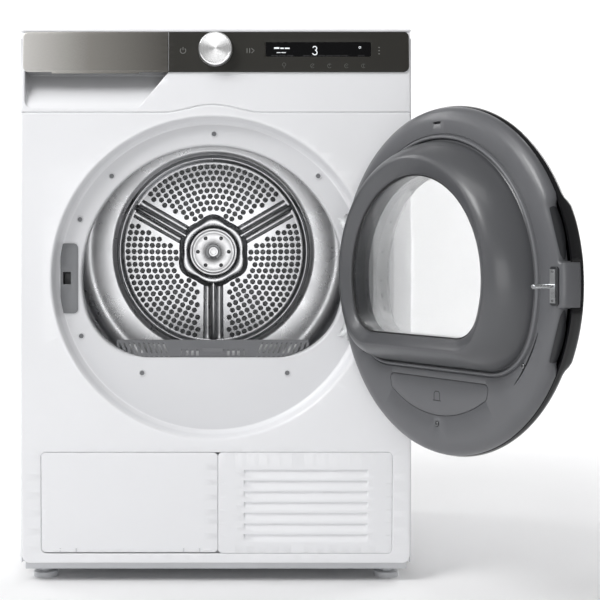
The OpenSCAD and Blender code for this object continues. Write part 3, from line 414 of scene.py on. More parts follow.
class Shape:
    """A mesh being collected, in mm."""

    def __init__(self):
        self.points, self.faces = [], []

    def add(self, points, faces):
        start = len(self.points)
        self.points += [tuple(p) for p in points]
        self.faces += [tuple(start + i for i in f) for f in faces]
        return self

    def loft(self, rings, close=True, wrap=False):
        """Quads between rings of equally many points."""
        rings = [np.asarray(r, float) for r in rings]
        n, m = len(rings[0]), len(rings)
        faces = []
        for j in range(m if wrap else m - 1):
            k = (j + 1) % m
            for i in range(n if close else n - 1):
                h = (i + 1) % n
                faces.append((j * n + i, j * n + h, k * n + h, k * n + i))
        return self.add(np.concatenate(rings), faces)

    def cap(self, ring, centre=None):
        ring = np.asarray(ring, float)
        centre = ring.mean(0) if centre is None else centre
        n = len(ring)
        return self.add([*ring, centre], [(i, (i + 1) % n, n) for i in range(n)])

    def sheet(self, outer, lift, holes=(), rows=(), columns=()):
        """A filled outline; lift turns (x, z) points into places in space."""
        points, faces = fill(outer, holes, rows, columns)
        return self.add(lift(points), faces)

    def make(self, name, mat, body, slot=None, replaces=(), smooth=35, place=None, flip=False, weld=0.02):
        mesh = bpy.data.meshes.new(name)
        mesh.from_pydata([tuple(c * MM for c in p) for p in self.points], [], self.faces)
        work = bmesh.new()
        work.from_mesh(mesh)
        bmesh.ops.remove_doubles(work, verts=work.verts, dist=weld * MM)
        bmesh.ops.dissolve_degenerate(work, edges=work.edges, dist=0.002 * MM)
        loose = [v for v in work.verts if not v.link_faces]
        bmesh.ops.delete(work, geom=loose, context="VERTS")
        bmesh.ops.recalc_face_normals(work, faces=work.faces)
        if flip:
            bmesh.ops.reverse_faces(work, faces=work.faces)
        work.to_mesh(mesh)
        work.free()
        if place is not None:
            mesh.transform(place)
        mesh.shade_smooth()
        mesh.set_sharp_from_angle(angle=math.radians(smooth))
        obj = bpy.data.objects.new(name, mesh)
        bpy.context.scene.collection.objects.link(obj)
        for one in mat if isinstance(mat, (list, tuple)) else [mat]:
            mesh.materials.append(mats[one])
        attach(obj, body)
        if replaces:
            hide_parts(*replaces)
        return obj


def lathe(profile, n=180):
    """Rings about the y axis from (radius, y) pairs."""
    a = angles(n)
    return [np.stack([r * np.cos(a), np.full(n, y), r * np.sin(a)], 1) for r, y in profile]


def at(points, y):
    """(x, z) points stood up at depth y, or at one depth each."""
    points = np.asarray(points, float)
    return np.stack([points[:, 0], np.broadcast_to(y, len(points)), points[:, 1]], 1)


def to_ring(points):
    return np.asarray(points) + np.array([RING_X, RING_Z])


def block(shape, low, high):
    x0, y0, z0 = low
    x1, y1, z1 = high
    p = [(x0, y0, z0), (x1, y0, z0), (x1, y1, z0), (x0, y1, z0), (x0, y0, z1), (x1, y0, z1), (x1, y1, z1), (x0, y1, z1)]
    shape.add(p, [(0, 3, 2, 1), (4, 5, 6, 7), (0, 1, 5, 4), (1, 2, 6, 5), (2, 3, 7, 6), (3, 0, 4, 7)])


def bevelled(obj, width, segments=2, angle=30):
    mod = obj.modifiers.new("bevel", "BEVEL")
    mod.width = width * MM
    mod.segments = segments
    mod.limit_method = "ANGLE"
    mod.angle_limit = math.radians(angle)
    mod.harden_normals = True
    return obj


def islands(name):
    """Boxes of the separate bodies in a CAD node, in mm."""
    mesh = nodes[name].data
    spots = np.array([tuple(v.co) for v in mesh.vertices]) / MM
    _, same = np.unique(np.round(spots, 2), axis=0, return_inverse=True)
    same = same.ravel()
    root = list(range(same.max() + 1))

    def top(i):
        while root[i] != i:
            root[i] = root[root[i]]
            i = root[i]
        return i

    for poly in mesh.polygons:
        first = top(same[poly.vertices[0]])
        for v in poly.vertices:
            root[top(same[v])] = first
    group = np.array([top(i) for i in same])
    return [(spots[group == g].min(0), spots[group == g].max(0)) for g in np.unique(group)]


def pan_head(shape, centre, r, base, thick, n=48, place=None):
    """A pan head with a cross recess, from its base along thick; both along the y axis."""
    rings = [(1.0, 0.0)] + [(k, 1 - 0.45 * k ** 3) for k in (1.0, 0.94, 0.8, 0.62, 0.56, 0.4, 0.24, 0.12, 0.01)]
    out = []
    for k, high in rings:
        p = circle(r * k, n)
        cross = (np.min(np.abs(p), 1) < 0.15 * r) & (k < 0.6)
        h = base + thick * np.where(cross, high - 0.6, high)
        out.append(at(p + centre, h))
    if place is not None:
        turn = np.array(place.to_3x3())
        move = np.array(place.translation) / MM
        out = [ring @ turn.T + move for ring in out]
    shape.loft(out)


DOOR = (
    Matrix.Translation(Vector(hinge) * MM)
    @ Matrix.Rotation(-math.radians(joints["door_hinge"]["range_deg"][0]), 4, "Z")
    @ Matrix.Translation(Vector((-HINGE_E, 0, 0)) * MM)
)

# ---------------------------------------------------------------- CAD nodes: smooth faces and finishes

ROUNDED = {
    "top_panel": 1.2, "latch_plate": 0.4, "hinge_brackets": 0.5,
    "hinge_arms": 0.5, "levelling_feet": 1.2, "base_pan": 0.8,
}
for name, obj in nodes.items():
    slot_name = next(s["material_slot"] for s in frame["record"]["subparts"] if s["node"] == name)
    obj.data.materials.clear()
    obj.data.materials.append(mats[slot_name])
    weld = obj.modifiers.new("weld", "WELD")
    weld.merge_threshold = 0.01 * MM
    obj.data.shade_smooth()
    width = ROUNDED.get(name)
    if width:
        bevelled(obj, width)
    split = obj.modifiers.new("split", "EDGE_SPLIT")
    split.split_angle = math.radians(40 if width else 28)

# ---------------------------------------------------------------- front panel with its round recess


def hump(x):
    t = np.clip(np.abs(np.asarray(x, float)) / HUMP_HALF, 0, 1)
    return HUMP_H * (1 + np.cos(np.pi * t)) / 2


def panel_outline():
    """Anticlockwise from the lower left corner, up to the seam and its hump."""
    r, w, z0 = 12, PANEL_X, panel_low[2]
    out = [(-w + r + r * math.cos(a), z0 + r + r * math.sin(a)) for a in np.linspace(math.pi, 1.5 * math.pi, 9)]
    out += [(w - r + r * math.cos(a), z0 + r + r * math.sin(a)) for a in np.linspace(1.5 * math.pi, TAU, 9)]
    out += [(w, z) for z in np.linspace(60, SEAM_Z - 1.2, 34)]
    xs = np.linspace(w, -w, 120)
    out += [(x, SEAM_Z + h) for x, h in zip(xs, hump(xs - RING_X))]
    out += [(-w, z) for z in np.linspace(SEAM_Z - 1.2, 60, 34)]
    return np.array(out)


def on_front(points, back=0.0):
    points = np.asarray(points, float)
    return at(points, arc_y(points[:, 1]) + back)


LOWER = (-268, 45, 270, 202)
panel = Shape()
outline = panel_outline()
lower_hole = resample(round_rect(*LOWER, 8), 24)
rim = to_ring(circle(RING_R + 5))
panel.sheet(inset(outline, 2.4), on_front, [inset(lower_hole, -1.6), rim], rows=range(30, 740, 14), columns=range(-294, 300, 28))
panel.loft([on_front(inset(outline, d), b) for d, b in ((2.4, 0), (1.3, 0.2), (0.5, 0.8), (0.05, 1.8), (0, 3), (0, 12))])
panel.loft([on_front(inset(lower_hole, -d), b) for d, b in ((1.6, 0), (0.8, 0.2), (0.25, 0.7), (0, 1.5), (0, 8))])

slope = [
    (RING_R + 5, 0.0), (RING_R + 3.6, 0.15), (RING_R + 2.2, 0.7), (RING_R + 1.0, 1.8), (RING_R + 0.2, 3.4),
]
rings = []
for r, back in slope:
    p = to_ring(circle(r))
    rings.append(at(p, arc_y(p[:, 1]) + back))
edge = to_ring(circle(RING_R + 0.2))
start_y = arc_y(edge[:, 1]) + 3.4
for t in (0.3, 0.6, 0.85):
    p = to_ring(circle(RING_R + 0.2 - 5.5 * t))
    rings.append(at(p, start_y + t * (FLOOR_Y - 3 - start_y)))
for a in (20, 40, 60, 80, 90):
    rad = math.radians(a)
    r = FLOOR_R + 0.4 - 3.0 * (1 - math.cos(rad)) - (0 if a < 90 else 0.4)
    rings.append(at(to_ring(circle(r)), FLOOR_Y - 3.4 * (1 - math.sin(rad))))
panel.loft(rings)
opening = d_outline(*OPEN_D)
wide = d_outline(OPEN_D[0] + 4.5, OPEN_D[1] + 4.5, OPEN_D[2] + 4.5)
SLOT = (-236.2, 458, -224, 477)
floor_rings = [at(to_ring(wide), FLOOR_Y)]
for grow, back in ((3.0, 0.15), (1.6, 0.8), (0.5, 2.0), (0.0, 3.6), (0.0, 22.0)):
    loop = d_outline(OPEN_D[0] + grow, OPEN_D[1] + grow, OPEN_D[2] + grow)
    floor_rings.append(at(to_ring(loop), FLOOR_Y + back))
recess = Shape().loft(floor_rings)
recess.sheet(to_ring(circle(FLOOR_R - 3.0)), lambda p: at(p, FLOOR_Y), [to_ring(wide), round_rect(*SLOT, 1)])
seam = Shape()
xs = np.linspace(-PANEL_X + 1, PANEL_X - 1, 120)
seam.loft([on_front([(x, SEAM_Z + up + h) for x, h in zip(xs, hump(xs - RING_X))], 1.5) for up in (0.02, 1.18)], close=False)
seam.loft([on_front(inset(lower_hole, d), 1.7) for d in (0.02, 0.5)])
gap_left, gap_right = mm_box("access_cover")[1], mm_box("vent_grille")[0]
gap_top = mm_box("access_cover")[1][2]
seam.sheet(round_rect(gap_left[0] + 0.05, gap_right[2] + 2, gap_right[0] - 0.05, gap_top - 2, 0.2), lambda p: on_front(p, 2.2))
seam.make("front_seam_backing", "white_enamel", "cabinet", "white_enamel", (), 30)
panel.make("front_panel_sheet", "white_enamel", "cabinet", "white_enamel", ["front_panel"], 30)
# the recess gets the darker copy of the enamel: painted shade
recess.make("recess_floor", "ring_enamel", "cabinet", "white_enamel", ["front_panel"], 30)

# ---------------------------------------------------------------- console: pocket, knob, display, touch marks

console_low, console_high = mm_box("console_frame")
knob_low, knob_high = mm_box("control_knob")
TOP_Z, CW = console_high[2], console_high[0]
POCKET_Z, POCKET_TOP, POCKET_DEEP = 727, 785.5, 37.5


def pocket_outline():
    """Upright on the left, slanted on the right, its lower corners round."""
    left, right, top_right, r = -293, -115, -72, 12
    out = [(left + r + r * math.cos(t), POCKET_Z + r + r * math.sin(t)) for t in np.linspace(math.pi, 1.5 * math.pi, 9)]
    out += [(right - 9 + 9 * math.sin(t), POCKET_Z + 9 - 9 * math.cos(t)) for t in np.linspace(0, 0.9, 6)]
    out += [(top_right, POCKET_TOP), (left, POCKET_TOP)]
    return resample(np.array(out), 5)


def pocket_floor(points, share=1.0):
    """Places on the pocket's sloping back, or that share of the way to it from the surface."""
    points = np.asarray(points, float)
    slope = -305 + np.clip(points[:, 1] - POCKET_Z, 0, None) / 57 * POCKET_DEEP
    front_y = arc_y(points[:, 1])
    return at(points, front_y + share * np.maximum(slope - front_y, 0.02))


console = Shape()
xs = np.linspace(-CW, CW, 120)
outline = [(x, SEAM_Z + 1.2 + h) for x, h in zip(xs, hump(xs - RING_X))]
outline += [(CW, z) for z in np.linspace(SEAM_Z + 12, TOP_Z, 12)] + [(-CW, z) for z in np.linspace(TOP_Z, SEAM_Z + 12, 12)]
outline = np.array(outline)
pocket = pocket_outline()
tank_low, tank_high = mm_box("water_tank")
mouth = round_rect(tank_low[0] - 1.5, max(tank_low[2] - 1.0, POCKET_TOP + 2.2), tank_high[0] + 1.5, tank_high[2] + 1.0, 1)
console.loft([on_front(inset(mouth, d), b) for d, b in ((0, 0), (0, 4))])
console.sheet(inset(outline, 2.0), on_front, [inset(pocket, -1.6), mouth], rows=range(728, 845, 9), columns=range(-290, 298, 20))
console.loft([on_front(inset(outline, d), b) for d, b in ((2.0, 0), (1.1, 0.15), (0.45, 0.6), (0.08, 1.4), (0, 2.4), (0, 16))])
console.loft([on_front(inset(pocket, -1.6)), pocket_floor(inset(pocket, -0.7), 0.02), pocket_floor(pocket, 0.10)])
hollow = Shape()
hollow.loft([
    pocket_floor(pocket, 0.10), pocket_floor(inset(pocket, 0.5), 0.45), pocket_floor(inset(pocket, 1.2), 0.8), pocket_floor(inset(pocket, 2.6), 0.96),
    pocket_floor(inset(pocket, 4.6), 1.0)])
hollow.sheet(inset(pocket, 4.6), pocket_floor, rows=range(732, 784, 4))
# the pocket wears painted shade, darker towards its top
hollow.make("console_pocket", "pocket_plastic", "cabinet", "white_plastic", ["console_frame"], 30)
console.make("console_front", "white_plastic", "cabinet", "white_plastic", ["console_frame"], 30)

fascia_low, fascia_high = mm_box("control_fascia")
drawer_low, drawer_high = mm_box("drawer_front")


def plate_outline(x0, x1, square_left):
    """An upright plate as high as the fascia, its outer corners round and its inner ones square."""
    z0, z1 = fascia_low[2], fascia_high[2]
    low, high = 9, 7
    out = [(x1 - low + low * math.sin(t), z0 + low - low * math.cos(t)) for t in np.linspace(0, math.pi / 2, 9)]
    out += [(x1 - high + high * math.cos(t), z1 - high + high * math.sin(t)) for t in np.linspace(0, math.pi / 2, 9)]
    out += [(x0, z1), (x0, z0)]
    out = np.array(out)
    if not square_left:
        out = np.stack([x0 + x1 - out[:, 0], out[:, 1]], 1)[::-1]
    return resample(out, 10)


PLATE_EDGE = ((1.3, -2.95), (0.7, -2.85), (0.25, -2.5), (0.02, -1.8), (0, -0.3))
fascia = Shape()
edge = plate_outline(fascia_low[0], fascia_high[0], True)
glass_hole = resample(round_rect(window_low[0], window_low[2], window_high[0], window_high[2], 2, 3), 10)
cols = np.arange(-60, 300, 12)
fascia.sheet(inset(edge, 1.3), lambda p: on_front(p, -2.95), [inset(glass_hole, -0.7)], rows=range(787, 845, 6), columns=cols)
fascia.loft([on_front(inset(edge, d), b) for d, b in PLATE_EDGE])
fascia.loft([on_front(inset(glass_hole, d), b) for d, b in ((-0.7, -2.95), (-0.3, -2.8), (-0.05, -2.3), (0, -0.6))])
fascia.make("fascia_plate", "dark_fascia", "cabinet", "dark_fascia", ["control_fascia"], 30)

glass = Shape()
edge = inset(glass_hole, 0.15)
glass.sheet(inset(edge, 0.3), lambda p: on_front(p, -2.5), rows=range(810, 830, 6), columns=cols)
glass.loft([on_front(inset(edge, d), b) for d, b in ((0.3, -2.5), (0.05, -2.35), (0, -2.0), (0, -0.6))])
glass.make("display_glass_plate", "display_glass", "cabinet", "display_glass", ["display_window"], 30)

drawer = Shape()
edge = plate_outline(drawer_low[0], drawer_high[0], False)
drawer.sheet(inset(edge, 1.3), lambda p: on_front(p, -2.95), rows=range(787, 845, 6), columns=np.arange(-290, -70, 12))
drawer.loft([on_front(inset(edge, d), b) for d, b in PLATE_EDGE])
drawer.loft([on_front(inset(edge, 0), b) for b in (-0.3, 1)] + [on_front(inset(edge, 7), 1)])
block(drawer, (-288, -298, 790), (-80, drawer_high[1], 840))
block(drawer, (-252, -303.5, 781.5), (-118, -300.8, 783.6))
drawer.make("drawer_front_plate", "drawer_silver", "water_drawer", "drawer_silver", ["drawer_front"], 30)

knob = Shape()
kb, kf = knob_high[1], knob_low[1] + 0.1
face_y = -304.5
knob_profile = [(0.01, face_y), (25.6, face_y), (26.3, face_y - 0.6), (26.4, face_y - 2), (25.4, kf + 2), (25.0, kf + 0.7),
    (24.3, kf + 0.12), (23.4, kf), (22.4, kf + 0.1), (21.9, kf + 0.5), (21.4, kf + 0.55), (0.01, kf + 0.55)]
knob.loft([ring + np.array([knob_axis[0], 0, knob_axis[2]]) for ring in lathe(knob_profile, 160)])
knob.loft([ring + np.array([knob_axis[0], 0, knob_axis[2]]) for ring in lathe([(3, face_y), (3, kb)], 40)])
knob.make("knob_body", "knob_metal", "knob", "knob_metal", ["control_knob"], 25)


def stroke(shape, line, half, lift, thick=0.12, closed=False):
    """A raised line: half its width to each side, standing thick above lift(points)."""
    p = np.asarray(line, float)
    run = np.roll(p, -1, 0) - np.roll(p, 1, 0)
    if not closed:
        run[0], run[-1] = p[1] - p[0], p[-1] - p[-2]
    run /= np.linalg.norm(run, axis=1)[:, None]
    side = np.stack([-run[:, 1], run[:, 0]], 1) * half
    rings = [lift(p + side * k) for k in (1, 0.94, -0.94, -1)]
    for ring, up in zip(rings, (0, thick, thick, 0)):
        ring[:, 1] -= up
    return shape.loft(rings, close=closed)


def arc(x, z, r, start, end, steps=16):
    return [(x + r * math.cos(t), z + r * math.sin(t)) for t in np.radians(np.linspace(start, end, steps))]


def on_fascia(points):
    return on_front(points, -3.0)


def on_window(points):
    return on_front(points, -2.6)


marks, faint, lit = Shape(), Shape(), Shape()
stroke(marks, arc(-50.6, 816.5, 4.2, 130, 410, 26), 0.5, on_fascia)
stroke(marks, [(-50.6, 817.5), (-50.6, 822)], 0.5, on_fascia)
for x in (47.6, 51.6):
    stroke(marks, [(x, 812.8), (x, 820.2)], 0.55, on_fascia)
stroke(marks, [(54.4, 812.8), (58.6, 816.5), (54.4, 820.2)], 0.5, on_fascia)
for z in (811.6, 816.5, 821.4):
    stroke(marks, [(249, z), (251, z)], 0.8, on_fascia)
stroke(faint, arc(104.3, 795, 2.6, 0, 352, 14), 0.4, on_fascia, closed=True)
stroke(faint, [(104.3, 792.4), (104.3, 789)], 0.4, on_fascia)
for x in (148, 174, 200, 226):
    stroke(faint, arc(x, 793, 3.1, 40, 320, 14), 0.4, on_fascia)
stroke(faint, [(146, 791), (150.5, 795.5)], 0.4, on_fascia)
stroke(faint, [(174, 793), (174, 796)], 0.4, on_fascia)
stroke(faint, [(198.4, 793), (201.6, 793)], 0.4, on_fascia)
stroke(faint, [(226, 790.6), (226, 795.4)], 0.4, on_fascia)
stroke(lit, [*arc(151.5, 820.2, 3.0, 165, -75, 14), *arc(151.5, 813.6, 3.5, 75, -165, 14)], 0.7, on_window)
for x0, x1, z, half in ((89, 97, 820.6, 1.3), (98.5, 104, 820.2, 1.0), (105.5, 113, 820.2, 1.0), (93, 99, 813.6, 0.55), (100.2, 107, 813.6, 0.55)):
    stroke(lit, [(x0, z), (x1, z)], half, on_window)
stroke(lit, arc(220.6, 821.6, 1.5, 0, 340, 10), 0.4, on_window, closed=True)
marks.make("touch_marks", "icon_grey", "cabinet", "dark_fascia", (), 40)
faint.make("touch_marks_small", "icon_faint", "cabinet", "dark_fascia", (), 40)
lit.make("display_figures", "display_light", "cabinet", "display_glass", (), 40)

# ---------------------------------------------------------------- air grille with shingled louvres


def louvre_depth(points):
    x, z = points[:, 0], points[:, 1]
    depth = np.zeros(len(points))
    for i in range(7):
        top = 75 + i * 16.6
        t = (top + 0.2 - z) / 13.5
        here = (t >= 0) & (t <= 1)
        ends = np.clip(np.minimum(x - 43, 232 - x) / 2.0, 0, 1)
        depth = np.where(here, np.maximum(depth, 3.6 * (1 - t) * ends), depth)
    return depth


def on_grille(points):
    points = np.asarray(points, float)
    return at(points, arc_y(points[:, 1]) + louvre_depth(points))


louvre_rows = []
for i in range(7):
    top = 75 + i * 16.6
    louvre_rows += [top + 0.6, top + 0.1, top - 3, top - 6.5, top - 10, top - 13.5]
grille_edge = resample(round_rect(grille_low[0], LOWER[1] + 0.6, grille_high[0], LOWER[3] - 0.6, 6), 20)
grille = Shape()
grille.sheet(inset(grille_edge, 1.2), on_grille, rows=louvre_rows, columns=(16, 29, 42, 45, *range(62, 230, 18), 230, 233, 246, 258))
grille.loft([on_front(inset(grille_edge, d), b) for d, b in ((1.2, 0), (0.5, 0.25), (0.1, 0.8), (0, 1.5), (0, 4))])
grille.make("air_grille", "white_plastic", "cabinet", "white_plastic", ["vent_grille"], 30)

FLAP_Y, FLAP_Z = (joints["service_flap_hinge"]["pos_m"][1] / MM, joints["service_flap_hinge"]["pos_m"][2] / MM)
flap_edge = resample(round_rect(flap_low[0], LOWER[1] + 2, flap_high[0], LOWER[3] - 0.8, 6), 20)
flap = Shape()
flap.sheet(inset(flap_edge, 1.2), on_front, rows=range(54, 200, 12), columns=range(-260, 0, 20))
flap.loft([on_front(inset(flap_edge, d), b) for d, b in ((1.2, 0), (0.5, 0.25), (0.1, 0.8), (0, 1.5), (0, 3))])
flap.loft([on_front(inset(flap_edge, d), 3) for d in (0, 2.5)])
flap.sheet(inset(flap_edge, 2.5), lambda p: on_front(p, 3), rows=range(60, 200, 20))
for x in (-250, -20):
    barrel = [ring + np.array([0, 0, 0]) for ring in lathe([(0.01, 0), (3.2, 0), (3.2, 14), (0.01, 14)], 40)]
    flap.loft([np.stack([ring[:, 1] + x, ring[:, 0] + FLAP_Y, ring[:, 2] + FLAP_Z], 1) for ring in barrel])
flap.make("service_flap_face", "white_plastic", "service_flap", "white_plastic", ["access_cover"], 30)

# ---------------------------------------------------------------- drum rear wall: holes, ribs, boss

wall = Shape()
bores = Shape()
RIBS = (30, 150, 270)
RIB_HALF, BOSS_R, FIELD_R, PITCH = 19, 57, 168, 12.3


def boss_radius(a):
    """Outline of the raised boss: three lobes between the ribs."""
    return BOSS_R + 7 * max(0.0, math.cos(3 * (a - math.pi / 2))) ** 2 + 3 * max(0.0, -math.cos(3 * (a - math.pi / 2)))


def at_drum(points, y):
    points = np.asarray(points, float)
    out = at(points, y)
    out[:, 1] = WALL_Y - out[:, 1]
    return out + np.array([RING_X, 0, drum_axis[2]])


hole_steps = 10
for rib in RIBS:
    mid = math.radians(rib + 60)
    half = math.radians(60)
    outer_gap = math.asin((RIB_HALF + 0.5) / FIELD_R)
    loop = [(FIELD_R * math.cos(a), FIELD_R * math.sin(a)) for a in np.linspace(mid - half + outer_gap, mid + half - outer_gap, 60)]
    inner_gap = math.asin((RIB_HALF + 0.5) / (BOSS_R + 11))
    for a in np.linspace(mid + half - inner_gap, mid - half + inner_gap, 28):
        loop.append(((boss_radius(a) + 7) * math.cos(a), (boss_radius(a) + 7) * math.sin(a)))
    loop = np.array(loop)
    holes = []
    r = BOSS_R + 15
    row = 0
    while r < FIELD_R - 4:
        step = PITCH / r
        count = int(half / step) + 1
        shift = 0.5 * (row % 2)
        for k in range(-count - 1, count + 2):
            a = mid + (k + shift) * step
            if abs(a - mid) * r > (half * r - RIB_HALF - 7.5) or r < boss_radius(a) + 13:
                continue
            c = np.array([r * math.cos(a), r * math.sin(a)])
            holes.append((c, [c + rad * np.array([math.cos(t), math.sin(t)]) for rad in (5.2,) for t in angles(hole_steps)]))
        r += PITCH * 0.93
        row += 1
    wall.sheet(loop, lambda p: at_drum(p, 0), [np.array(h[1]) for h in holes])
    for c, ring_points in holes:
        away = np.array(ring_points) - c
        rings = [at_drum(c + away * (rad / 5.2), y) for rad, y in ((5.2, 0), (4.7, 0.9), (4.1, 0.7), (3.8, -0.4), (3.8, -4.5))]
        wall.loft(rings[:4])
        # the hole walls go into dark steel: painted shade inside the holes
        bores.loft(rings[3:])

across = [(-19.5, 0), (-18, -1.6), (-14.5, -3.8), (-9.5, -4.0), (-6.6, -2.8), (-5.4, 1.5), (-4.6, 5.6), (-3.2, 7.4), (-1.4, 8.0), (0, 8.1)]
across = across + [(-u, h) for u, h in across[-2::-1]]
for rib in RIBS:
    a = math.radians(rib)
    along, side = np.array([math.cos(a), math.sin(a)]), np.array([-math.sin(a), math.cos(a)])
    rings = []
    for d, scale in ((50, 0.9), (58, 1), (110, 1), (155, 1), (162, 0.92), (167, 0.72), (171, 0.42), (174, 0.15), (176, 0.0)):
        rings.append(np.concatenate([at_drum([along * d + side * u], h * scale) for u, h in across]))
    wall.loft(rings, close=False)

n = 180
boss = [np.array([[(boss_radius(a) + g) * math.cos(a), (boss_radius(a) + g) * math.sin(a)] for a in angles(n)]) for g in (8, 5.5, 2.5, 0, -2)]
heights = (0, 1.2, 6.2, 8.6, 9.2)
rings = [at_drum(p, h) for p, h in zip(boss, heights)]
rings += [at_drum(circle(r, n), h) for r, h in ((50.5, 9.2), (49, 8.4), (48, 6), (48, 1))]
wall.loft(rings)

profile = [
    (FIELD_R, 0), (FIELD_R + 3, 0.2), (FIELD_R + 5.5, 1.6), (FIELD_R + 8.5, 4.4), (FIELD_R + 11, 5.2), (FIELD_R + 13.5, 4.4),
    (FIELD_R + 15.5, 1.4), (FIELD_R + 17.5, 0.4), (FIELD_R + 21, 1.6), (FIELD_R + 24, 3.4), (FIELD_R + 27, 3.8), (228, 4.2),
]
profile += [(228.5 + 40 * math.sin(t), 0.2 + 4 * (1 - t / 1.57) + 40 * (1 - math.cos(t))) for t in np.linspace(0.1, math.pi / 2, 14)]
wall.loft([at_drum(circle(r, 240), h) for r, h in profile])
# the rear wall wears the paler copy of the drum's steel: painted light
wall.make("drum_rear_wall_pressed", "wall_steel", "drum", "drum_steel", ["drum_rear_wall"], 40)
# painted shade: the hole walls in dark steel, though they are the drum's own steel
bores.make("drum_wall_bores_painted_shade", "dark_steel", "drum", "drum_steel", (), 40)

hub = Shape()
hub_profile = [(0.01, 6.4), (5.2, 6.4), (5.6, 6.0), (6.0, 4.2), (8.6, 4.2), (9.2, 6.6), (10, 7.2), (36, 7.2), (38.5, 6.6), (40.5, 7.4), (43.5, 8.2), (45.2, 7.6), (46, 6), (46, 1)]
hub.loft([at_drum(circle(max(r, 0.01), 120), h) for r, h in hub_profile])
hub_low, hub_high = mm_box("drum_hub")
back = hub_high[1] - WALL_Y
hub.loft([at_drum(circle(r, 60), h) for r, h in ((46, 1), (46, -1.4), (17, -1.4), (12.2, -2), (12, -back + 0.6), (11.4, -back), (0.01, -back))])
# the hub's near-white steel is painted light
hub.make("hub_disc", "hub_steel", "drum", "axle_steel", ["drum_hub"], 40)
clip = Shape()
clip_turns = np.linspace(math.radians(-60), math.radians(235), 60)
clip.loft([at_drum(np.array([[r * math.cos(t), r * math.sin(t)] for t in clip_turns]), h)
           for r, h in ((9.6, 5.4), (9.6, 8.2), (10.0, 8.6), (14.2, 8.6), (14.6, 8.2), (14.6, 6.8))], close=False)
clip.make("hub_circlip", "dark_steel", "drum", "axle_steel", (), 40)

bolts = Shape()
for low, high in islands("hub_bolts"):
    middle = (low + high) / 2
    spot = np.array([middle[0], middle[2]])
    pan_head(bolts, spot, 3.6, WALL_Y - 7.2, -2.6)
bolts.make("hub_bolt_heads", "dark_steel", "drum", "zinc_steel", ["hub_bolts"], 40)

# ---------------------------------------------------------------- door: outer ring, inner panel, bowl


def door_loft(shape, loops, close=True):
    """Lofts ((x, z) loop, outward height) pairs in the closed door's own place."""
    return shape.loft([at(p, -np.asarray(w, float)) for p, w in loops], close)


def grip(a):
    """1 along the free edge where the hand goes, 0 elsewhere."""
    x, z = math.cos(a), math.sin(a)
    if x > 0:
        return 0.0
    t = np.clip((106 - abs(z) * 241) / 16 + 0.5, 0, 1)
    return float(t * t * (3 - 2 * t))


plain = [(236.4, -8.8), (239.5, -8.8), (240.9, -6), (241, -3.5), (240.3, -0.5), (238.4, 2.8), (234.6, 7.4), (229.5, 11.4), (224, 14.4), (215, 17.3), (205, 19.2), (190, 20), (175, 18.6), (165, 16.2), (161.5, 14.4), (160.2, 12.4), (160.4, 9.4)]
gripped = [(236.4, -8.8), (239.5, -8.8), (240.9, -6), (241, -1), (241, 4), (240.6, 8), (238.6, 10.8), (233.5, 12.6), (227, 14.4), (216, 17.2), (205, 19.2), (190, 20), (175, 18.6), (165, 16.2), (161.5, 14.4), (160.2, 12.4), (160.4, 9.4)]
shell = Shape()
loops = []
for (r0, w0), (r1, w1) in zip(plain, gripped):
    ring_points, ring_w = [], []
    for a in angles(240):
        g = grip(a)
        r = r0 * (1 - g) + r1 * g
        if abs(math.sin(a)) * 241 < 29 and math.cos(a) < 0 and w1 < 5:
            r = min(r, 237.6)
        ring_points.append((r * math.cos(a), r * math.sin(a)))
        ring_w.append(w0 * (1 - g) + w1 * g)
    loops.append((np.array(ring_points), ring_w))
inner = [(168.5, 9.6), (168.7, 13.6), (176, 15.4), (190, 16.4), (206, 15.4), (222, 11.6), (231, 5.4), (236.6, -3), (236.6, -8.6)]
loops += [(circle(r), w) for r, w in inner]
door_loft(shell, loops)
shell.make("door_outer_ring", "black_gloss", "door", "black_gloss", ["door_outer_shell"], 40, DOOR)

FLAT_W = -27
SEAL_D = (203, 125, 88)


def grown(outline, d):
    r, flat, corner = outline
    return d_outline(r + d, flat + d, corner + d)


def lid_outline(grow):
    """The lid in the inner face: a piece of a circle with a straight top and round corners."""
    half, top, far, soft = 104, -133.5, 184, 7
    out = [(half - soft + soft * math.sin(t), top - soft + soft * math.cos(t)) for t in np.linspace(math.pi * 0.55, 0, 8)]
    out += [(-x, z) for x, z in reversed(out)]
    start = math.atan2(-152, -100)
    out += [(far * math.cos(t), far * math.sin(t)) for t in np.linspace(start, -math.pi - start, 50)]
    return inset(resample(np.array(out), 9), -grow)


def on_door(w):
    return lambda points: at(points, -w)


slit_turns = np.radians(np.linspace(197, 220, 24))
slit_r = np.linspace(206, 201, 24)
slit_half = 1.3 * np.sin(np.linspace(0.12, math.pi - 0.12, 24)) ** 0.6
slit = np.concatenate([
    np.stack([(slit_r + slit_half) * np.cos(slit_turns), (slit_r + slit_half) * np.sin(slit_turns)], 1)[::-1],
    np.stack([(slit_r - slit_half) * np.cos(slit_turns), (slit_r - slit_half) * np.sin(slit_turns)], 1),
])
top_slot = round_rect(-8, 215.2, 8, 218.8, 1.7)
screw_spots = [((low + high) / 2, (high - low)[0] / 2) for low, high in islands("door_screws")]
door_back = DOOR.inverted()
door_spots = []
for middle, r in screw_spots:
    local = door_back @ Vector([c * MM for c in middle])
    door_spots.append((np.array([local.x, local.z]) / MM, r))
wells = [spot + circle(4.6, 40) for spot, r in door_spots if spot[1] < -50]
plate_well = np.array([-224, -1.5]) + round_rect(-6.6, -24, 7.6, 24, 4)

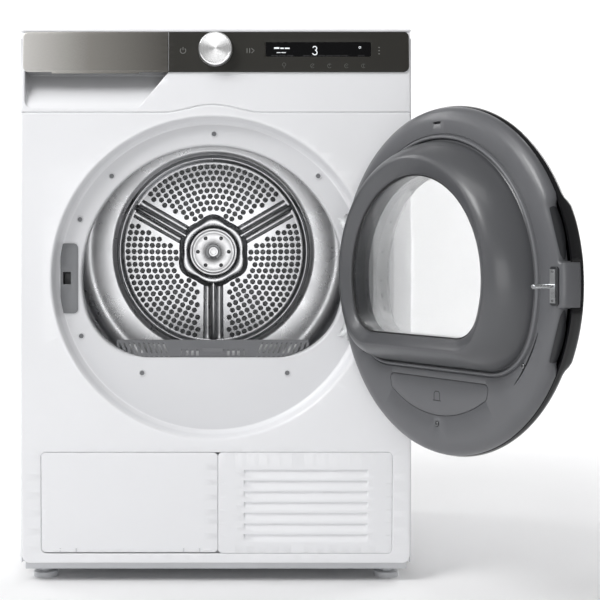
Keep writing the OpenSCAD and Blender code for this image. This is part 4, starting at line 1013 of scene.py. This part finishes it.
face = Shape()
edge_profile = [(236.2, -9.2), (238.8, -9.2), (239.1, -11), (238.8, -14), (237.4, -17.6), (234.6, -21.2), (230.4, -24.2), (224.5, -26.2)]
grip_profile = [(229, -6), (231.0, -9), (231.4, -12), (231.6, -15), (231.8, -18), (231.6, -21.4), (229.4, -24.4), (224.5, -26.2)]
loops = []
for (r0, w0), (r1, w1) in zip(edge_profile, grip_profile):
    g = np.array([grip(a) for a in angles(240)])
    ring_r, ring_w = r0 * (1 - g) + r1 * g, w0 * (1 - g) + w1 * g
    a = angles(240)
    loops.append((np.stack([ring_r * np.cos(a), ring_r * np.sin(a)], 1), ring_w))
loops.append((circle(219), FLAT_W))
door_loft(face, loops)
lid_hole = lid_outline(0.7)
face.sheet(circle(219), on_door(FLAT_W), [grown(SEAL_D, 0), lid_hole, slit, top_slot, *wells])
for hole, deep in ((lid_hole, 1.5), (slit, 5), (top_slot, 4)):
    face.loft([at(inset(hole, d), -FLAT_W - w) for d, w in ((0, 0), (0.12, 0.1), (0.2, 0.4), (0.2, deep))])
for hole in wells:
    face.loft([at(inset(hole, d), -FLAT_W - w) for d, w in ((0, 0), (0.3, 0.15), (0.5, 0.6), (0.7, 2.0), (4.2, 2.0))])
door_loft(face, [(grown(SEAL_D, d), w) for d, w in ((0, -27), (-1, -26.8), (-1.6, -25.8), (-2.4, -25.6), (-3, -26.4), (-3.4, -27.2))])
face.make("door_inner_face", "grey_plastic", "door", "grey_plastic", ["door_inner_panel"], 40, DOOR)

pad = Shape()
pad_turns = np.radians(np.linspace(180 - 7.4, 180 + 7.4, 20))
pad_ends = np.minimum(1, np.sin(np.linspace(0.0, math.pi, 20)) * 6) ** 0.5
pad_rows = []
for r, w in ((230.5, -24.4), (233.6, -23.4), (236.9, -21.0), (238.9, -17), (239.9, -10), (240.5, -2), (240.5, 2.4), (239.6, 4.4), (237.4, 5.2)):
    rr = 230.5 + (r - 230.5) * pad_ends
    pad_rows.append(np.stack([rr * np.cos(pad_turns), np.full(20, -w), rr * np.sin(pad_turns)], 1))
pad.loft(pad_rows, close=False)
pad.make("door_grip_pad", "grey_plastic", "door", "grey_plastic", (), 50, DOOR)

base = Shape()
under_plate = round_rect(-231.2, -25.6, -217.6, 22.6, 4)
door_loft(base, [(inset(under_plate, d), w) for d, w in ((0, -24), (0, -26.9), (0.25, -27.1), (0.6, -27.15))])
base.sheet(inset(under_plate, 0.6), on_door(-27.15))
base.make("striker_base", "dark_plastic", "door", "grey_plastic", (), 50, DOOR)

# painted shade: dark sheets just behind the gaps round the lid, the slit and the top slot, where the grey moulding lies
# in shade
gap = Shape()
gap.sheet(lid_outline(1.2), on_door(FLAT_W + 1.3), [lid_outline(-2)])
gap.sheet(inset(slit, -1.5), on_door(FLAT_W + 4.2))
gap.sheet(inset(top_slot, -1.5), on_door(FLAT_W + 3.4))
gap.make("door_gap_painted_shade", "dark_plastic", "door", "grey_plastic", (), 40, DOOR)

lid = Shape()
lid.sheet(lid_outline(-0.9), on_door(FLAT_W))
lid.loft([at(lid_outline(g), -w) for g, w in ((-0.9, FLAT_W), (-0.5, FLAT_W + 0.12), (-0.3, FLAT_W + 0.5), (-0.3, FLAT_W + 1.2))])
lid.make("door_lid_face", "grey_plastic", "door", "grey_plastic", ["door_lid"], 40, DOOR)


mark = Shape()
house = np.array([(-6, -164), (6, -164), (6, -154.5), (3.4, -151.5), (-3.4, -151.5), (-6, -154.5)])
for line, closed in ((resample(house, 1.5), True), (np.array([(-8.5, -164), (8.5, -164)]), False)):
    stroke(mark, line, 0.65, on_door(FLAT_W), -0.1, closed)
mark.make("door_lid_mark", "dark_plastic", "door", "grey_plastic", (), 40, DOOR)

seal = Shape()
door_loft(seal, [(grown(SEAL_D, r), w) for r, w in (
    (-3.4, -26.4), (-3.5, -29.0), (-4.4, -30.2), (-5.8, -30.7), (-7.2, -30.4), (-7.9, -29.4), (-8.2, -27.2))])
seal.make("door_seal_lip", "grey_rubber", "door", "grey_rubber", ["door_seal"], 50, DOOR)

bowl = Shape()
BASE_W, RIM_W, TUBE_W, STRIP_W = -27.4, -78.6, -5, -25.5
loops = [(d_outline(194.6, 117.6, 80.6), -26.2), (d_outline(193.6, 116.6, 79.6), BASE_W), (d_outline(191.8, 114.8, 77.8), -28.6)]
for phi in np.linspace(0.14, 1, 18) * math.pi / 2:
    out, up = 1 - math.cos(phi) ** 1.32, math.sin(phi) ** 1.32
    size = np.array([191.8, 114.8, 77.8]) * (1 - out) + np.array([157.5, 101.2, 46.5]) * out
    loops.append((d_outline(*size, lift=11 * out), -28.6 + (RIM_W + 28.6) * up))
rim_size, tube_size = np.array([157.5, 101.2, 46.5]), np.array([140.2, 78.7, 45.2])
for t, w in ((0.03, -79.0), (0.1, -79.2), (0.2, -78.8), (0.5, -76.2), (0.8, -73.2), (0.93, -71.6), (0.985, -70.4), (1.0, -68.5)):
    size = rim_size * (1 - t) + tube_size * t
    loops.append((d_outline(*size, lift=11 - 6 * t), w))
door_loft(bowl, loops)
bowl.make("door_bowl_form", "bowl_plastic", "door", "grey_plastic", ["door_bowl"], 32, DOOR)
throat = Shape()
door_loft(throat, [(d_outline(*tube_size, lift=5), w) for w in (-68.5, -50, -38, STRIP_W)])
throat.make("door_bowl_throat", "throat_plastic", "door", "grey_plastic", ["door_bowl"], 32, DOOR)

flange = Shape()
door_loft(flange, [(d_outline(*(tube_size + grow), lift=5), w) for grow, w in (
    (0, STRIP_W), (1.8, STRIP_W), (2.2, STRIP_W + 0.5), (2.2, TUBE_W - 1.5), (2.8, TUBE_W - 0.4), (4, -3.6))])
door_loft(flange, [(d_outline(*(tube_size + 4), lift=5), -3.6), (circle(160.5), -3.2), (circle(162.5), 0.5), (circle(164.6), 4.2)])
flange.make("window_flange", "strip_plastic", "door", "grey_plastic", (), 50, DOOR)

dots = Shape()
strip = d_outline(*(tube_size + 2.0), lift=5, n=720)
for turn, wide, long in ((33, 2.2, 2.0), (14, 2.2, 2.0), (-3, 2.2, 2.0), (-12, 2.4, 4.5), (-20, 2.4, 4.5), (60, 2.2, 2.0), (100, 2.2, 2.0), (140, 2.2, 2.0), (180, 2.2, 2.0), (200, 2.2, 2.0)):
    spot = strip[int(turn * 2) % 720]
    ahead = strip[(int(turn * 2) + 4) % 720] - spot
    ahead /= np.linalg.norm(ahead)
    within = np.array([-ahead[1], ahead[0]])
    ring = [(spot + ahead * long * math.cos(t), -15 + wide * math.sin(t)) for t in angles(20)]
    rows = [[(q[0] + within[0] * d, -w, q[1] + within[1] * d) for q, w in ring] for d in (-0.2, 0.25)]
    dots.loft(rows)
    dots.cap(rows[1])
dots.make("window_flange_clips", "dark_plastic", "door", "grey_plastic", (), 40, DOOR)

gasket = Shape()
door_loft(gasket, [(d_outline(*(tube_size + grow), lift=5), w) for grow, w in (
    (0.05, -69.8), (-0.8, -69.7), (-1.7, -69.2), (-2.0, -68.6), (-2.0, -67.9))])
door_loft(gasket, [(d_outline(*(tube_size + grow), lift=5), w) for grow, w in ((-1.6, -64.2), (-1.4, -63.4), (0.05, -63.0))])
gasket.make("door_glass_gasket", "black_rubber", "door", "grey_rubber", (), 50, DOOR)

scoop = Shape()
for sign in (-1, 1):
    turns = np.radians(np.linspace(180 - sign * 7.8, 180 - sign * 28, 36))
    taper = np.sin(np.linspace(0.04, math.pi - 0.04, 36)) ** 0.4
    rows = []
    for r, w, out in ((231.9, -23.0, 0.3), (232.6, -21.2, 1), (233.2, -16, 1), (232.9, -11, 1), (231.9, -7, 0.3)):
        rr = r - 1.6 * (1 - taper) * out
        depth = -15 + (w + 15) * taper
        rows.append(np.stack([rr * np.cos(turns), -depth, rr * np.sin(turns)], 1))
    scoop.loft(rows, close=False)
scoop.make("door_grip_scoop", "dark_plastic", "door", "black_gloss", (), 50, DOOR)

glass_size = (139.7, 78.2, 44.7)
pane = Shape()
for w in (-68, -64):
    pane.sheet(d_outline(*glass_size, lift=5), on_door(w))
pane.loft([at(d_outline(*glass_size, lift=5), -w) for w in (-68, -64)])
pane.make("door_glass_pane", "clear_glass", "door", "clear_glass", ["door_glass"], 40, DOOR)

dome = Shape()
under = [(0.01, -8.0)] + [(r, -(8 - 3 * (r / 165) ** 2)) for r in np.linspace(12, 165.2, 18)]
over = [(r, -(11.6 - 3 * (r / 165) ** 2)) for r in np.linspace(165.2, 12, 18)] + [(0.01, -11.6)]
dome.loft(lathe(under + over, 200))
dome.make("door_window_pane", "window_glass", "door", "window_glass", ["door_window"], 40, DOOR)

heads = Shape()
for (middle, r), (spot, _) in zip(screw_spots, door_spots):
    low = spot[1] < -50
    pan_head(heads, spot, 3.3 if low else r, -FLAT_W - (0.2 if low else -1.3), 1.9 if low else 1.0)
heads.make("door_screw_heads", "dark_steel", "door", "zinc_steel", ["door_screws"], 40, DOOR)

# ---------------------------------------------------------------- cabinet screws, plugs and hinge lugs

plugs, rims, lugs, rear = Shape(), Shape(), Shape(), Shape()
for low, high in islands("cabinet_screws"):
    middle, r = (low + high) / 2, (high - low)[0] / 2
    spot = np.array([middle[0], middle[2]])
    if middle[1] > 0:
        pan_head(rear, spot, r, high[1] - 2.0, 2.0)
        continue
    if spot[0] > 190:
        pan_head(lugs, spot, r, high[1], low[1] - high[1])
        continue
    rims.loft([ring + np.array([spot[0], 0, spot[1]]) for ring in lathe(
        [(5.2, -285.9), (5.2, -286.8), (4.8, -287.4), (4.2, -287.5), (3.8, -287.1), (3.6, -286.0)], 40)])
    pan_head(plugs, spot, 3.5, -286.2, -0.9)
rims.make("ring_plug_rims", "ring_enamel", "cabinet", "zinc_steel", ["cabinet_screws"], 40)
plugs.make("ring_plugs", "latch_grey", "cabinet", "zinc_steel", ["cabinet_screws"], 40)
lugs.make("hinge_screw_heads", "zinc_steel", "cabinet", "zinc_steel", ["cabinet_screws"], 40)
rear.make("rear_screw_heads", "zinc_steel", "cabinet", "zinc_steel", ["cabinet_screws"], 40)

# painted shade: a dark lining inside the latch slot, darker than the latch's own grey
liner = Shape()
block(liner, (SLOT[0] - 0.4, FLOOR_Y + 0.2, SLOT[1] - 0.4), (SLOT[2] + 0.4, FLOOR_Y + 30, SLOT[3] + 0.4))
liner.faces = [f for f in liner.faces if set(f) not in ({0, 1, 4, 5}, {2, 3, 6, 7})]
liner.make("latch_slot_painted_shade", "dark_plastic", "cabinet", "latch_grey", (), 40, flip=True)

# ---------------------------------------------------------------- studio

floor = Shape()
cyc = [(-60000, 0)] + [(1600 + 1800 * math.sin(t), 1800 - 1800 * math.cos(t)) for t in np.linspace(0, math.pi / 2, 24)] + [(3400, 6000)]
floor.loft([[(x, y, z) for y, z in cyc] for x in (-60000, 60000)], close=False)
mesh = bpy.data.meshes.new("studio_floor")
mesh.from_pydata([tuple(c * MM for c in p) for p in floor.points], [], floor.faces)
mesh.shade_smooth()
backdrop = bpy.data.objects.new("studio_floor", mesh)
bpy.context.scene.collection.objects.link(backdrop)
paper = Nodes("studio_paper")
paper.put(Roughness=0.9)
paper.colours(paper.noise(2, 2), (0.93, 0.93, 0.935), (0.95, 0.95, 0.955))
mesh.materials.append(paper.mat)


def area_light(name, place, aim, size, power, colour=(1, 1, 1)):
    data = bpy.data.lights.new(name, "AREA")
    data.shape = "RECTANGLE"
    data.size, data.size_y = size
    data.energy = power
    data.color = colour
    obj = bpy.data.objects.new(name, data)
    obj.location = place
    obj.rotation_euler = (Vector(aim) - Vector(place)).to_track_quat("-Z", "Y").to_euler()
    bpy.context.scene.collection.objects.link(obj)


area_light("key", (-1.9, -2.3, 3.0), (0, -0.3, 0.6), (1.3, 1.3), 63)
area_light("key_side", (-2.8, -1.4, 2.6), (0.1, -0.3, 0.5), (1.0, 1.0), 18)
area_light("front", (0, -3.2, 0.6), (0, 0, 0.5), (1.2, 0.9), 9)
area_light("top", (-0.4, -1.6, 3.2), (0.2, -0.4, 0.5), (1.8, 1.0), 13.4)
area_light("paper_left", (-3.0, 1.5, 2.6), (-1.3, 3.4, 0.9), (1.6, 2.4), 63.7)
area_light("paper_right", (3.0, 1.5, 2.6), (1.3, 3.4, 0.9), (1.6, 2.4), 82.9)

world = bpy.data.worlds.new("studio")
world.use_nodes = True
world.node_tree.nodes["Background"].inputs["Color"].default_value = (1, 1, 1, 1)
world.node_tree.nodes["Background"].inputs["Strength"].default_value = 0.25
bpy.context.scene.world = world
bpy.context.scene.view_settings.view_transform = "Standard"
bpy.context.scene.view_settings.look = "None"

camera = bpy.data.cameras.new("camera")
camera.lens = 82.11
camera.sensor_width = 36
camera.shift_x = 0.14
camera.shift_y = -0.09
camera.clip_end = 60
eye = bpy.data.objects.new("camera", camera)
eye.location = (0, -2.4, 0.517)
eye.rotation_euler = (math.pi / 2, 0, 0)
bpy.context.scene.collection.objects.link(eye)
bpy.context.scene.camera = eye
